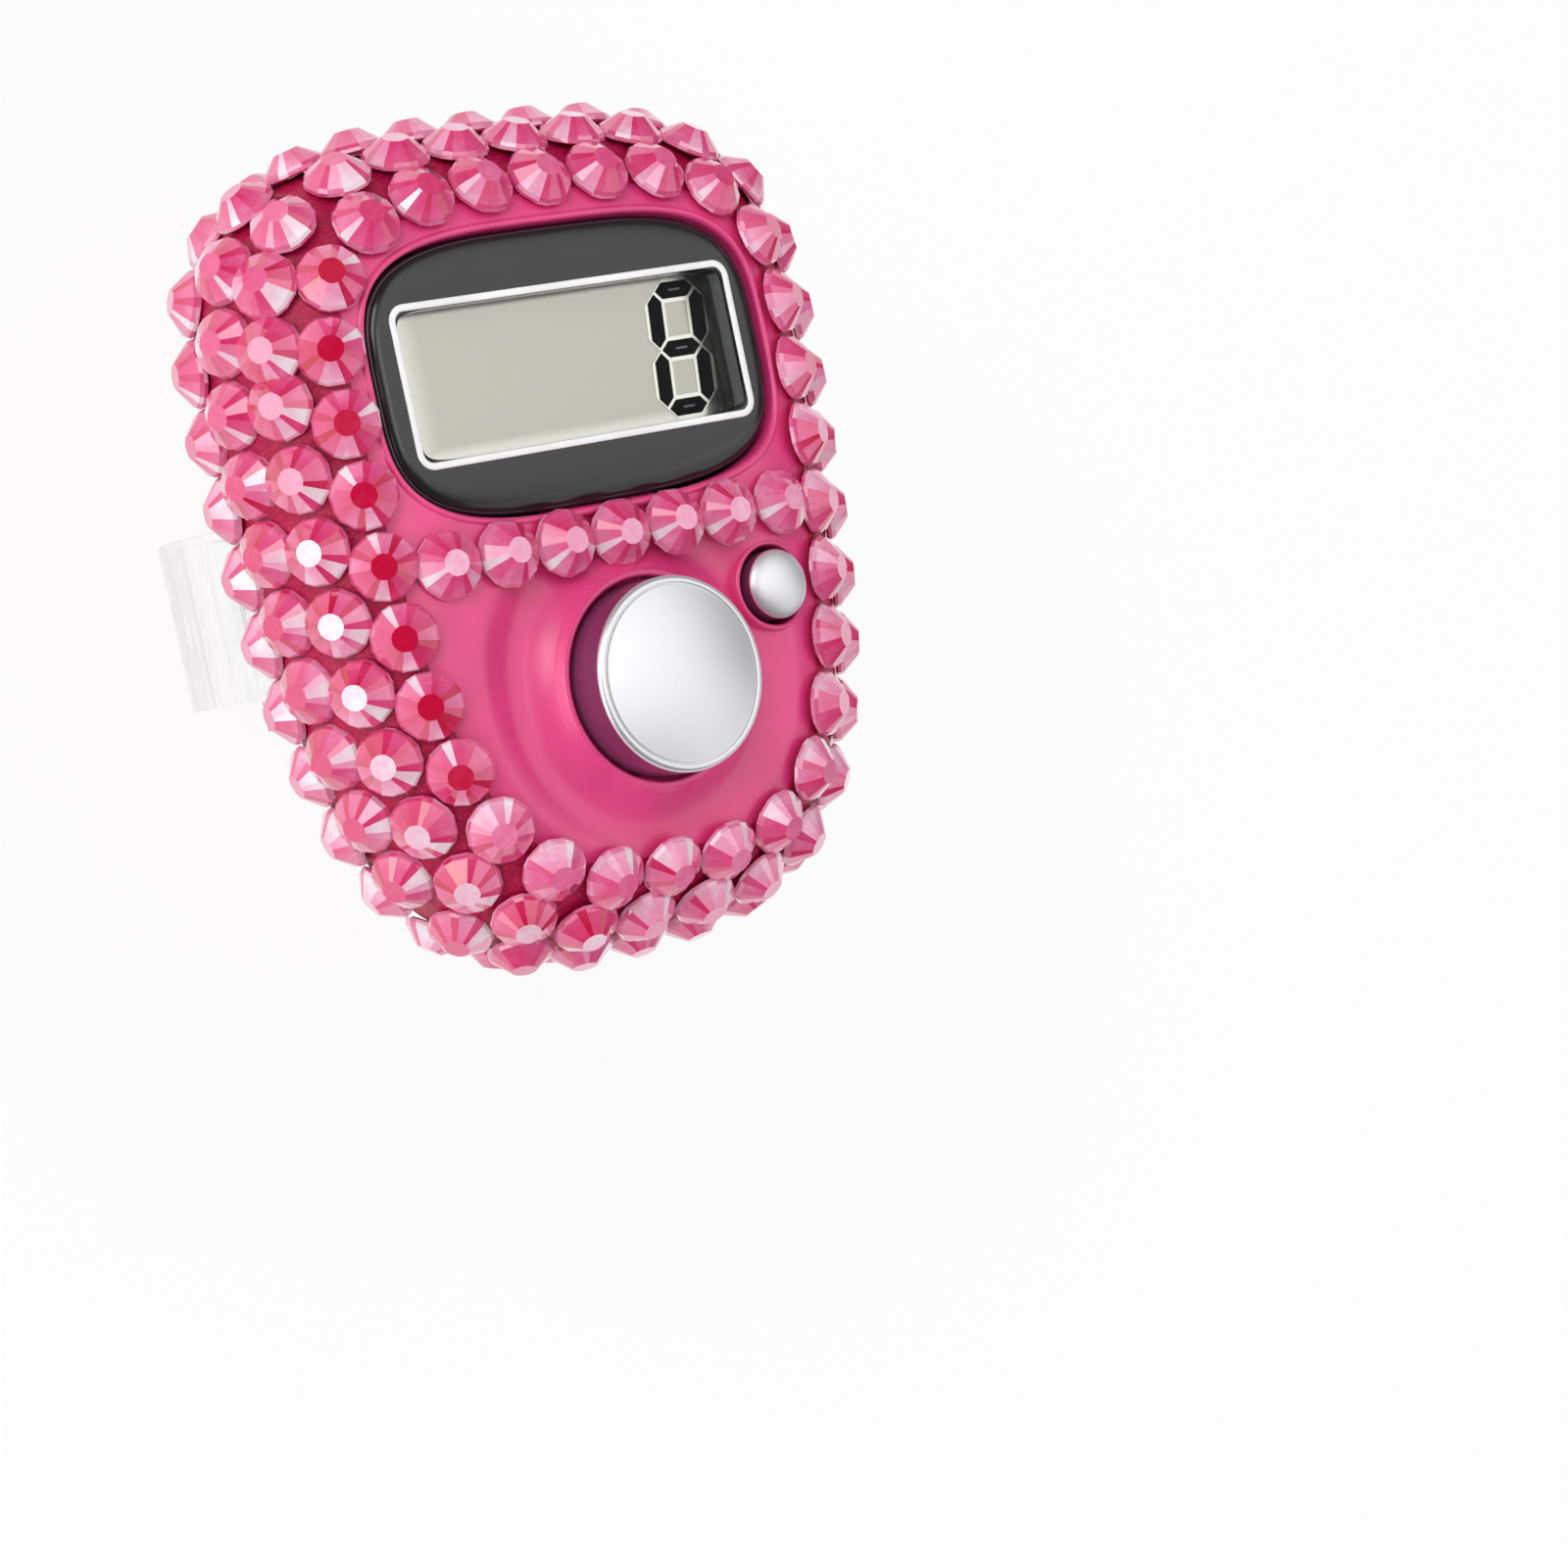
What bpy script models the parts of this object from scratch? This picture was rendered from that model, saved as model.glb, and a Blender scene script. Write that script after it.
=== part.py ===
"""Digital finger tally counter covered in resin stones, lying face up on its closed finger strap.

Every piece is drawn in the plate frame: its origin is the centre of the front plate's face, x runs to the
display's right, y to its top and z out of its face. One empty lifts that frame to where the counter stands.
"""

import math

import bmesh
import bpy
import numpy as np
from mathutils import Matrix, Vector

# Case: an oval with square shoulders, lengths from the middle of the front plate
CASE_HALF_WIDTH = 0.0151
CASE_TOP = 0.0113
CASE_BOTTOM = 0.0261
CASE_CORNER_POWER = 3.4
CASE_NARROWING_SHARE = 0.08
CASE_CROWN = 0.00025
CASE_WALL = 0.0013
FACE_WALL = 0.002
EDGE_INSET = 0.00645
EDGE_DROP = 0.00535
REAR_INSET = 0.0045
REAR_DROP = 0.0068
PARTING_DEPTH = 0.0097
PARTING_GAP = 0.00015
CAVITY_EDGE_SHARE = 0.75
OUTLINE_STEPS = 48
SHARP_EDGE_DEGREES = 35
TANGENT_STEP_DEGREES = 0.2
RING_MEASURE_STEPS = 721
FLAT_DEGREES = -90
REAR_DEGREES = -70

# Clearances
SEAT_GAP = 0.0002
THIN_GAP = 0.0001
OVERRUN = 0.001
WELD_DISTANCE = 0.00001

# Front plate and the ridge round it
PLATE_SIDE_MARGIN = 0.00445
PLATE_TOP_MARGIN = 0.00493
PLATE_CORNER_POWER = 3.6
PLATE_THICKNESS = 0.0009
PLATE_EDGE = 0.0004
RIDGE_WIDTH = 0.0005
RIDGE_HEIGHT = 0.0002
RIDGE_ROOT = 0.0006

# Display: window pane, mask, two glasses, reflector, holder and the rubber connector to the board
WINDOW_SIDE_MARGIN = 0.00155
WINDOW_TOP_MARGIN = 0.00297
WINDOW_CORNER = 0.0005
GLASS_LEDGE_WIDTH = 0.00055
GLASS_LEDGE_HEIGHT = 0.0006
GLASS_CORNER = 0.0003
PANE_SINK = 0.0001
PANE_LEDGE = 0.0001
MASK_THICKNESS = 0.0005
GLASS_THICKNESS = 0.0006
REFLECTOR_THICKNESS = 0.00015
CONTACT_LEDGE = 0.0012
CONNECTOR_WIDTH = 0.0008
HOLDER_WALL = 0.0009

# Circuit board and what it carries
BOARD_THICKNESS = 0.001
BOARD_DEPTH = 0.0056
BOARD_MARGIN = 0.0005
CHIP_RADIUS = 0.003
CHIP_HEIGHT = 0.0009
CHIP_SHOULDER_RADIUS_SHARE = 0.8
CHIP_SHOULDER_HEIGHT_SHARE = 0.7
CHIP_FLAT_SHARE = 0.4
CHIP_FOOT_MARGIN = 0.0083
CAPACITOR_SIZE = (0.002, 0.00125, 0.0009)
CAPACITOR_PLACE = (-0.0058, -0.0158)
RESISTOR_SIZE = (0.0016, 0.0008, 0.0005)
RESISTOR_PLACE = (0.0054, -0.0158)

# Count button and the shallow dish that it stands in
COUNT_RADIUS = 0.0045
COUNT_FOOT_MARGIN = 0.01125
COUNT_TOP = 0.0031
COUNT_DOME = 0.00022
COUNT_RIM_WIDTH = 0.0004
COUNT_TRAVEL = 0.001
COUNT_SKIRT = 0.0009
COUNT_STEM = 0.0015
DISH_RADIUS = 0.0083
DISH_DEPTH = 0.0006
COLLAR_WIDTH = 0.0003
COLLAR_HEIGHT = 0.00055

# Reset button
RESET_RADIUS = 0.00164
RESET_SIDE_MARGIN = 0.00695
RESET_RISE = 0.0031
RESET_TOP = 0.0003
RESET_DOME = 0.00027
RESET_TRAVEL = 0.0007
RESET_HOLE_GAP = 0.0004
RESET_STEM = 0.0008
RESET_FLANGE_DROP = 0.0006

# Button flanges, their running gap and the rubber domes under them
BUTTON_GAP = 0.0002
FLANGE_WIDTH = 0.0006
FLANGE_THICKNESS = 0.0006
COUNT_RUBBER_FOOT = 0.0032
RESET_RUBBER_FOOT = 0.0021
RUBBER_WALL = 0.00045
RUBBER_RISE_SHARE = 0.55
BUTTON_DOME_STEP_SHARES = (0.35, 0.7)

# Button cell and its two contacts
CELL_RADIUS = 0.0058
CELL_HEIGHT = 0.00305
CELL_STEP = 0.0006
CELL_Y = -0.0035
CELL_POCKET_GAP = 0.0008
CONTACT_WIDTH = 0.003
CONTACT_THICKNESS = 0.0002
CONTACT_FOOT = 0.002
CONTACT_DROP = 0.0004

# Screws and their pillars
HEAD_SCREW_MARGINS = (0.0061, 0.005)
FOOT_SCREW_MARGINS = (0.0085, 0.0047)
LEFT_BOARD_SCREW_MARGINS = (0.0053, 0.0171)
RIGHT_BOARD_SCREW_MARGINS = (0.0065, 0.0071)
PILLAR_RADIUS = 0.0016
SCREW_HOLE_RADIUS = 0.00065
SCREW_SHANK_RADIUS = 0.0005
SCREW_HEAD_RADIUS = 0.0012
SCREW_HEAD_HEIGHT = 0.0007
SCREW_LENGTH = 0.0042
BOARD_SCREW_LENGTH = 0.0026
SCREW_SLOT_WIDTH = 0.0003
SCREW_FACE_SHARE = 0.7

# Rear cover: finger saddle, locating lip and the two pairs of strap ears, with a pin through each pair
SADDLE_RADIUS = 0.014
SADDLE_DEPTH = 0.0009
LIP_HEIGHT = 0.001
LIP_WALL = 0.0009
PIN_MARGIN = 0.0052
PIN_DEPTH = 0.0139
PIN_RADIUS = 0.0007
PIN_GAP = 0.0001
EAR_THICKNESS = 0.0014
EAR_RADIUS = 0.0018
EAR_ROOT = 0.0013

# Strap: two halves that overlap under the finger
STRAP_Y = -0.0079
STRAP_WIDTH = 0.0082
STRAP_THICKNESS = 0.0013
STRAP_SIDE_MARGIN = 0.0035
STRAP_DEPTH = 0.028
STRAP_SIDE = 0.0079
STRAP_TAIL = 0.005
STRAP_GAP = 0.0002
EYE_GAP = 0.0002
EYE_WALL = 0.001
PEG_PITCH = 0.0036
PEG_RADIUS = 0.0009
PEG_HEAD_RADIUS = 0.0014
PEG_HEAD_HEIGHT = 0.0004
PEG_GAP = 0.0002

# Stones: flat-backed, glued in rings round the case and in one row across its face
STONE_RADIUS = 0.0014
STONE_TABLE_SHARE = 0.42
STONE_HEIGHT = 0.00125
STONE_LIFT = 0.0002
GLUE_WIDTH = 0.0012
GLUE_THICKNESS = 0.0003
GLUE_LIFT = 0.00025
STONE_SIDES = 6
# Each ring: its place on the rounded edge in degrees, 90 at the face and 0 at the widest, and its runs.
# A run is a count with its first and last shares of the way round, from the top by the left.
RING_TURNS = (55.5, 29.5, 2.0, -24.5)
RING_RUN_SHARES = (
    ((30, 0.0962, 1.0629),),
    ((14, 0.1075, 0.4948), (20, 0.5245, 1.0790)),
    ((10, 0.1383, 0.3840), (18, 0.4160, 0.8890), (8, 0.9176, 1.1100)),
    ((36, 0.1150, 1.0872),),
)
ROW_COUNT = 7
ROW_PLATE_GAP = 0.00163
ROW_SIDE_MARGIN = 0.0058

# Places that follow from the case's size and their margins
PLATE_HALF_WIDTH = CASE_HALF_WIDTH - PLATE_SIDE_MARGIN
PLATE_HALF_HEIGHT = CASE_TOP - PLATE_TOP_MARGIN
WINDOW_HALF_WIDTH = PLATE_HALF_WIDTH - WINDOW_SIDE_MARGIN
WINDOW_HALF_HEIGHT = PLATE_HALF_HEIGHT - WINDOW_TOP_MARGIN
GLASS_HALF_WIDTH = WINDOW_HALF_WIDTH + GLASS_LEDGE_WIDTH
GLASS_HALF_HEIGHT = WINDOW_HALF_HEIGHT + GLASS_LEDGE_HEIGHT
COUNT_Y = COUNT_FOOT_MARGIN - CASE_BOTTOM
RESET_X = CASE_HALF_WIDTH - RESET_SIDE_MARGIN
RESET_Y = COUNT_Y + RESET_RISE
HEAD_SCREW_X = CASE_HALF_WIDTH - HEAD_SCREW_MARGINS[0]
HEAD_SCREW_Y = CASE_TOP - HEAD_SCREW_MARGINS[1]
FOOT_SCREW_X = CASE_HALF_WIDTH - FOOT_SCREW_MARGINS[0]
FOOT_SCREW_Y = FOOT_SCREW_MARGINS[1] - CASE_BOTTOM
CASE_SCREW_PLACES = (
    (-HEAD_SCREW_X, HEAD_SCREW_Y),
    (HEAD_SCREW_X, HEAD_SCREW_Y),
    (-FOOT_SCREW_X, FOOT_SCREW_Y),
    (FOOT_SCREW_X, FOOT_SCREW_Y),
)
BOARD_SCREW_PLACES = (
    (LEFT_BOARD_SCREW_MARGINS[0] - CASE_HALF_WIDTH, LEFT_BOARD_SCREW_MARGINS[1] - CASE_BOTTOM),
    (CASE_HALF_WIDTH - RIGHT_BOARD_SCREW_MARGINS[0], RIGHT_BOARD_SCREW_MARGINS[1] - CASE_BOTTOM),
)
CHIP_Y = CHIP_FOOT_MARGIN - CASE_BOTTOM
PIN_X = CASE_HALF_WIDTH - PIN_MARGIN
STRAP_HALF_WIDTH = CASE_HALF_WIDTH - STRAP_SIDE_MARGIN
# The corner takes what the straight side leaves, and stays clear of the outer pegs.
STRAP_CORNER_ROOM = STRAP_HALF_WIDTH - PEG_PITCH - PEG_HEAD_RADIUS
STRAP_CORNER = min(STRAP_DEPTH - PIN_DEPTH - STRAP_SIDE, STRAP_CORNER_ROOM)
ROW_Y = -PLATE_HALF_HEIGHT - ROW_PLATE_GAP
ROW_HALF_LENGTH = CASE_HALF_WIDTH - ROW_SIDE_MARGIN

# Levels that follow from the sizes above
WIDEST_DEPTH = EDGE_DROP - CASE_CROWN
BACK_DEPTH = WIDEST_DEPTH + REAR_DROP
CEILING_DEPTH = FACE_WALL - CASE_CROWN
PARTING_TURN = -math.asin((PARTING_DEPTH - WIDEST_DEPTH) / REAR_DROP)
PLATE_SEAT_DEPTH = PLATE_THICKNESS + THIN_GAP
FRONT_GLASS_DEPTH = PLATE_SEAT_DEPTH + MASK_THICKNESS + THIN_GAP
REAR_GLASS_DEPTH = FRONT_GLASS_DEPTH + GLASS_THICKNESS + THIN_GAP
REFLECTOR_DEPTH = REAR_GLASS_DEPTH + GLASS_THICKNESS + THIN_GAP
HOLDER_DEPTH = REFLECTOR_DEPTH + REFLECTOR_THICKNESS + THIN_GAP
BOARD_BACK_DEPTH = BOARD_DEPTH + BOARD_THICKNESS
CELL_DEPTH = BOARD_BACK_DEPTH + CONTACT_DROP + CONTACT_THICKNESS + THIN_GAP
CELL_BACK_DEPTH = CELL_DEPTH + CELL_HEIGHT
COVER_DEPTH = PARTING_DEPTH + PARTING_GAP
EYE_RADIUS = PIN_RADIUS + EYE_GAP + EYE_WALL
FACE_CENTRE_Y = (CASE_TOP - CASE_BOTTOM) / 2


def clear_scene():
    for obj in list(bpy.data.objects):
        bpy.data.objects.remove(obj)
    for collection in list(bpy.data.collections):
        bpy.data.collections.remove(collection)


def collection_named(name):
    collection = bpy.data.collections.new(name)
    bpy.context.scene.collection.children.link(collection)
    return collection


def material(name, colour, roughness, metallic=0.0, alpha=1.0):
    made = bpy.data.materials.new(name)
    made.use_nodes = True
    shader = made.node_tree.nodes["Principled BSDF"]
    shader.inputs["Base Color"].default_value = (*colour, 1.0)
    shader.inputs["Roughness"].default_value = roughness
    shader.inputs["Metallic"].default_value = metallic
    shader.inputs["Alpha"].default_value = alpha
    return made


class Bench:
    """Holds the two collections and the empty that carries the plate frame, and adds pieces to them."""

    def __init__(self):
        self.parts = collection_named("tally_counter")
        self.cutters = collection_named("cutters")
        self.frame = bpy.data.objects.new("plate_frame", None)
        self.frame.location = (0, -FACE_CENTRE_Y, STRAP_DEPTH)
        self.parts.objects.link(self.frame)

    def add(self, name, mesh, look=None, at=(0, 0, 0), smooth=True):
        """Adds a mesh as a part where it has a look, and as a cutter where it has none."""
        obj = bpy.data.objects.new(name, mesh)
        obj.location = at
        obj.parent = self.frame
        if look is None:
            self.cutters.objects.link(obj)
            obj.hide_render = True
            obj.display_type = "WIRE"
        else:
            self.parts.objects.link(obj)
            mesh.materials.append(look)
        if smooth:
            mesh.shade_smooth()
            mesh.set_sharp_from_angle(angle=math.radians(SHARP_EDGE_DEGREES))
        return obj


def boolean(target, other, operation):
    modifier = target.modifiers.new(f"{operation.lower()}_{other.name}", "BOOLEAN")
    modifier.operation = operation
    modifier.solver = "EXACT"
    modifier.object = other


def cut(target, cutter):
    boolean(target, cutter, "DIFFERENCE")


def join(target, other):
    boolean(target, other, "UNION")


def mesh_from(name, build):
    """Runs build on an empty bmesh and returns the mesh that it made, with its faces pointing out."""
    bm = bmesh.new()
    build(bm)
    bmesh.ops.recalc_face_normals(bm, faces=bm.faces)
    mesh = bpy.data.meshes.new(name)
    bm.to_mesh(mesh)
    bm.free()
    return mesh


def loft_into(bm, loops):
    """Skins a stack of closed loops, which all have as many points, and caps both ends."""
    rings = [[bm.verts.new(point) for point in loop] for loop in loops]
    for low, high in zip(rings, rings[1:]):
        for index in range(len(low)):
            after = (index + 1) % len(low)
            bm.faces.new((low[index], low[after], high[after], high[index]))
    bm.faces.new(reversed(rings[0]))
    bm.faces.new(rings[-1])


def loft(name, loops):
    return mesh_from(name, lambda bm: loft_into(bm, loops))


def prism(name, outline, low, high):
    """A flat outline filled as one face and extruded from low to high."""

    def build(bm):
        face = bm.faces.new([bm.verts.new((x, y, low)) for x, y in outline])
        raised = bmesh.ops.extrude_face_region(bm, geom=[face], use_keep_orig=True)["geom"]
        verts = [part for part in raised if isinstance(part, bmesh.types.BMVert)]
        bmesh.ops.translate(bm, verts=verts, vec=(0, 0, high - low))

    return mesh_from(name, build)


def slab(bench, name, outline, low, high, look=None):
    return bench.add(name, prism(name, outline, low, high), look, smooth=False)


def cylinder(name, radius, low, high, sides=24):
    def build(bm):
        bmesh.ops.create_cone(
            bm,
            cap_ends=True,
            segments=sides,
            radius1=radius,
            radius2=radius,
            depth=high - low,
            matrix=Matrix.Translation((0, 0, (low + high) / 2)),
        )

    return mesh_from(name, build)


def cross_bar(name, radius, length, sides=20):
    """A round bar along y, centred on its object's origin."""

    def build(bm):
        bmesh.ops.create_cone(
            bm,
            cap_ends=True,
            segments=sides,
            radius1=radius,
            radius2=radius,
            depth=length,
            matrix=Matrix.Rotation(math.radians(90), 4, "X"),
        )

    return mesh_from(name, build)


def box(name, size, centre=(0, 0, 0)):
    def build(bm):
        bmesh.ops.create_cube(bm, size=1, matrix=Matrix.Translation(centre) @ Matrix.Diagonal((*size, 1)))

    return mesh_from(name, build)


def turned(bench, name, profile, look, at, steps=32):
    """Turns a profile of (radius, z) points, run down its outer side, about the object's own z axis."""
    mesh = bpy.data.meshes.new(name)
    edges = [(index, index + 1) for index in range(len(profile) - 1)]
    mesh.from_pydata([(radius, 0, z) for radius, z in profile], edges, [])
    obj = bench.add(name, mesh, look, at, smooth=False)
    screw = obj.modifiers.new("turn", "SCREW")
    screw.steps = steps
    screw.render_steps = steps
    screw.use_merge_vertices = True
    screw.merge_threshold = WELD_DISTANCE
    screw.use_smooth_shade = False
    return obj


def rounded_outline(half_width, half_height, corner, steps=3, centre=(0, 0)):
    points = []
    for quarter, (sx, sy) in enumerate(((1, 1), (-1, 1), (-1, -1), (1, -1))):
        for step in range(steps + 1):
            angle = math.radians(90) * (quarter + step / steps)
            x = centre[0] + sx * (half_width - corner) + corner * math.cos(angle)
            y = centre[1] + sy * (half_height - corner) + corner * math.sin(angle)
            points.append((x, y))
    return points


def oval_outline(half_width, half_height, power, steps=40):
    """A superellipse: each half axis times the signed cosine or sine raised to two over the power."""
    points = []
    for step in range(steps):
        angle = 2 * math.pi * step / steps
        c = math.cos(angle)
        s = math.sin(angle)
        x = half_width * math.copysign(abs(c) ** (2 / power), c)
        y = half_height * math.copysign(abs(s) ** (2 / power), s)
        points.append((x, y))
    return points


def case_point(angle, inset):
    """The case's plan shape drawn in by inset: a superellipse, longer and narrower towards its foot."""
    c = math.cos(angle)
    s = math.sin(angle)
    reach = CASE_TOP if s > 0 else CASE_BOTTOM
    x = (CASE_HALF_WIDTH - inset) * math.copysign(abs(c) ** (2 / CASE_CORNER_POWER), c)
    y = (reach - inset) * math.copysign(abs(s) ** (2 / CASE_CORNER_POWER), s)
    return x * (1 - CASE_NARROWING_SHARE * max(0, -y) / CASE_BOTTOM), y


def case_outline(inset):
    return [case_point(2 * math.pi * step / OUTLINE_STEPS, inset) for step in range(OUTLINE_STEPS)]


def edge_at(turn):
    """Inset and height of the case's side: a quarter ellipse up to the face and another down to the back."""
    if turn >= 0:
        return EDGE_INSET * (1 - math.cos(turn)), CASE_CROWN - EDGE_DROP * (1 - math.sin(turn))
    return REAR_INSET * (1 - math.cos(turn)), -WIDEST_DEPTH + REAR_DROP * math.sin(turn)


def cavity_edge_at(turn):
    """The same side for the hollow inside, a wall further in."""
    inset, height = edge_at(turn)
    if turn >= 0:
        drop = WIDEST_DEPTH - CEILING_DEPTH
        return CASE_WALL + CAVITY_EDGE_SHARE * inset, -CEILING_DEPTH - drop * (1 - math.sin(turn))
    return CASE_WALL + inset, height


def case_loops(edge, turns):
    loops = []
    for turn in turns:
        inset, height = edge(turn)
        loops.append([(x, y, height) for x, y in case_outline(inset)])
    return loops


def turns_between(low, high, count):
    return [low + (high - low) * step / count for step in range(count + 1)]


def case_surface(angle, turn):
    inset, height = edge_at(turn)
    x, y = case_point(angle, inset)
    return Vector((x, y, height))


def case_normal(angle, turn):
    """Outward normal from the surface's two tangents, each over a small step of its parameter."""
    step = math.radians(TANGENT_STEP_DEGREES)
    along = case_surface(angle + step, turn) - case_surface(angle - step, turn)
    up = case_surface(angle, turn + step) - case_surface(angle, turn - step)
    return along.cross(up).normalized()


def face_inset(x, y):
    """How far the plan shape must be drawn in to pass through a point, by halving."""
    x = abs(x) / (1 - CASE_NARROWING_SHARE * max(0, -y) / CASE_BOTTOM)
    reach = CASE_TOP if y > 0 else CASE_BOTTOM
    low = 0
    high = EDGE_INSET
    for _ in range(40):
        middle = (low + high) / 2
        across = (x / (CASE_HALF_WIDTH - middle)) ** CASE_CORNER_POWER
        if across + (abs(y) / (reach - middle)) ** CASE_CORNER_POWER < 1:
            low = middle
        else:
            high = middle
    return low


def face_height(x, y):
    drawn_in = min(face_inset(x, y), EDGE_INSET)
    return CASE_CROWN - EDGE_DROP * (1 - math.sqrt(max(0, 1 - (1 - drawn_in / EDGE_INSET) ** 2)))


def face_normal(x, y):
    step = STONE_RADIUS
    slope_x = (face_height(x + step, y) - face_height(x - step, y)) / (2 * step)
    slope_y = (face_height(x, y + step) - face_height(x, y - step)) / (2 * step)
    return Vector((-slope_x, -slope_y, 1)).normalized()


def ring_angles(turn, shares):
    """Outline angles at shares of a ring's length, measured from its top centre by the left side."""
    angles = np.linspace(math.radians(90), math.radians(450), RING_MEASURE_STEPS)
    points = np.array([case_surface(angle, turn) for angle in angles])
    lengths = np.concatenate(([0], np.cumsum(np.linalg.norm(np.diff(points, axis=0), axis=1))))
    return np.interp(np.mod(shares, 1) * lengths[-1], lengths, angles)


def ring_stones(turn, runs):
    """Places and normals of one ring's stones."""
    shares = np.concatenate([np.linspace(first, last, count) for count, first, last in runs])
    angles = ring_angles(turn, shares)
    return [(case_surface(angle, turn), case_normal(angle, turn)) for angle in angles]


def row_stones():
    places = []
    for index in range(ROW_COUNT):
        x = ROW_HALF_LENGTH * (2 * index / (ROW_COUNT - 1) - 1)
        places.append((Vector((x, ROW_Y, face_height(x, ROW_Y))), face_normal(x, ROW_Y)))
    return places


def stones_mesh(name, places):
    """One cut cone for each stone, standing on its flat back."""

    def build(bm):
        for place, normal in places:
            turn = normal.to_track_quat("Z", "Y").to_matrix().to_4x4()
            middle = place + normal * (STONE_LIFT + STONE_HEIGHT / 2)
            bmesh.ops.create_cone(
                bm,
                cap_ends=True,
                segments=STONE_SIDES,
                radius1=STONE_RADIUS,
                radius2=STONE_RADIUS * STONE_TABLE_SHARE,
                depth=STONE_HEIGHT,
                matrix=Matrix.Translation(middle) @ turn,
            )

    return mesh_from(name, build)


def glue_section(place, normal, along):
    """A flat four-cornered section of the glue line, standing on the surface."""
    across = along.cross(normal).normalized() * GLUE_WIDTH / 2
    low = place + normal * GLUE_LIFT
    high = low + normal * GLUE_THICKNESS
    return [low - across, low + across, high + across, high - across]


def glue_ring_mesh(name, turn, count):
    """The glue line under a ring of stones: its section carried all the way round the case."""
    angles = ring_angles(turn, np.arange(count) / count)
    places = [case_surface(angle, turn) for angle in angles]

    def build(bm):
        rings = []
        for index, angle in enumerate(angles):
            along = places[(index + 1) % count] - places[index - 1]
            section = glue_section(places[index], case_normal(angle, turn), along)
            rings.append([bm.verts.new(point) for point in section])
        for index, ring in enumerate(rings):
            after = rings[(index + 1) % count]
            for side in range(4):
                other = (side + 1) % 4
                bm.faces.new((ring[side], ring[other], after[other], after[side]))

    return mesh_from(name, build)


def glue_row_mesh(name, places):
    along = Vector((1, 0, 0))
    return loft(name, [glue_section(place, normal, along) for place, normal in places])


def make_stones(bench, looks):
    for index, (degrees, runs) in enumerate(zip(RING_TURNS, RING_RUN_SHARES), start=1):
        turn = math.radians(degrees)
        places = ring_stones(turn, runs)
        glue = glue_ring_mesh("glue_ring", turn, len(places))
        ring = bench.add(f"stone_ring_{index}", glue, looks["stone"])
        join(ring, bench.add(f"ring_{index}_stones", stones_mesh("ring_stones", places)))
    places = row_stones()
    row = bench.add("stone_row", glue_row_mesh("glue_row", places), looks["stone"])
    join(row, bench.add("row_stones", stones_mesh("row_stones", places)))


def dish_profile():
    """The dish in half section, from its rim down to its floor and up to the collar round the hole."""
    hole = COUNT_RADIUS + BUTTON_GAP
    floor = CASE_CROWN - DISH_DEPTH
    collar = CASE_CROWN + COLLAR_HEIGHT
    floor_radius = DISH_RADIUS - (DISH_RADIUS - hole) / 4
    points = []
    for step in range(5):
        way = step / 4
        radius = DISH_RADIUS + (floor_radius - DISH_RADIUS) * way
        points.append((radius, CASE_CROWN + (floor - CASE_CROWN) * math.sin(math.radians(90) * way)))
    for step in range(1, 6):
        way = step / 5
        radius = floor_radius + (hole + COLLAR_WIDTH - floor_radius) * way
        points.append((radius, floor + (collar - floor) * way**2))
    return points, collar


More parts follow.
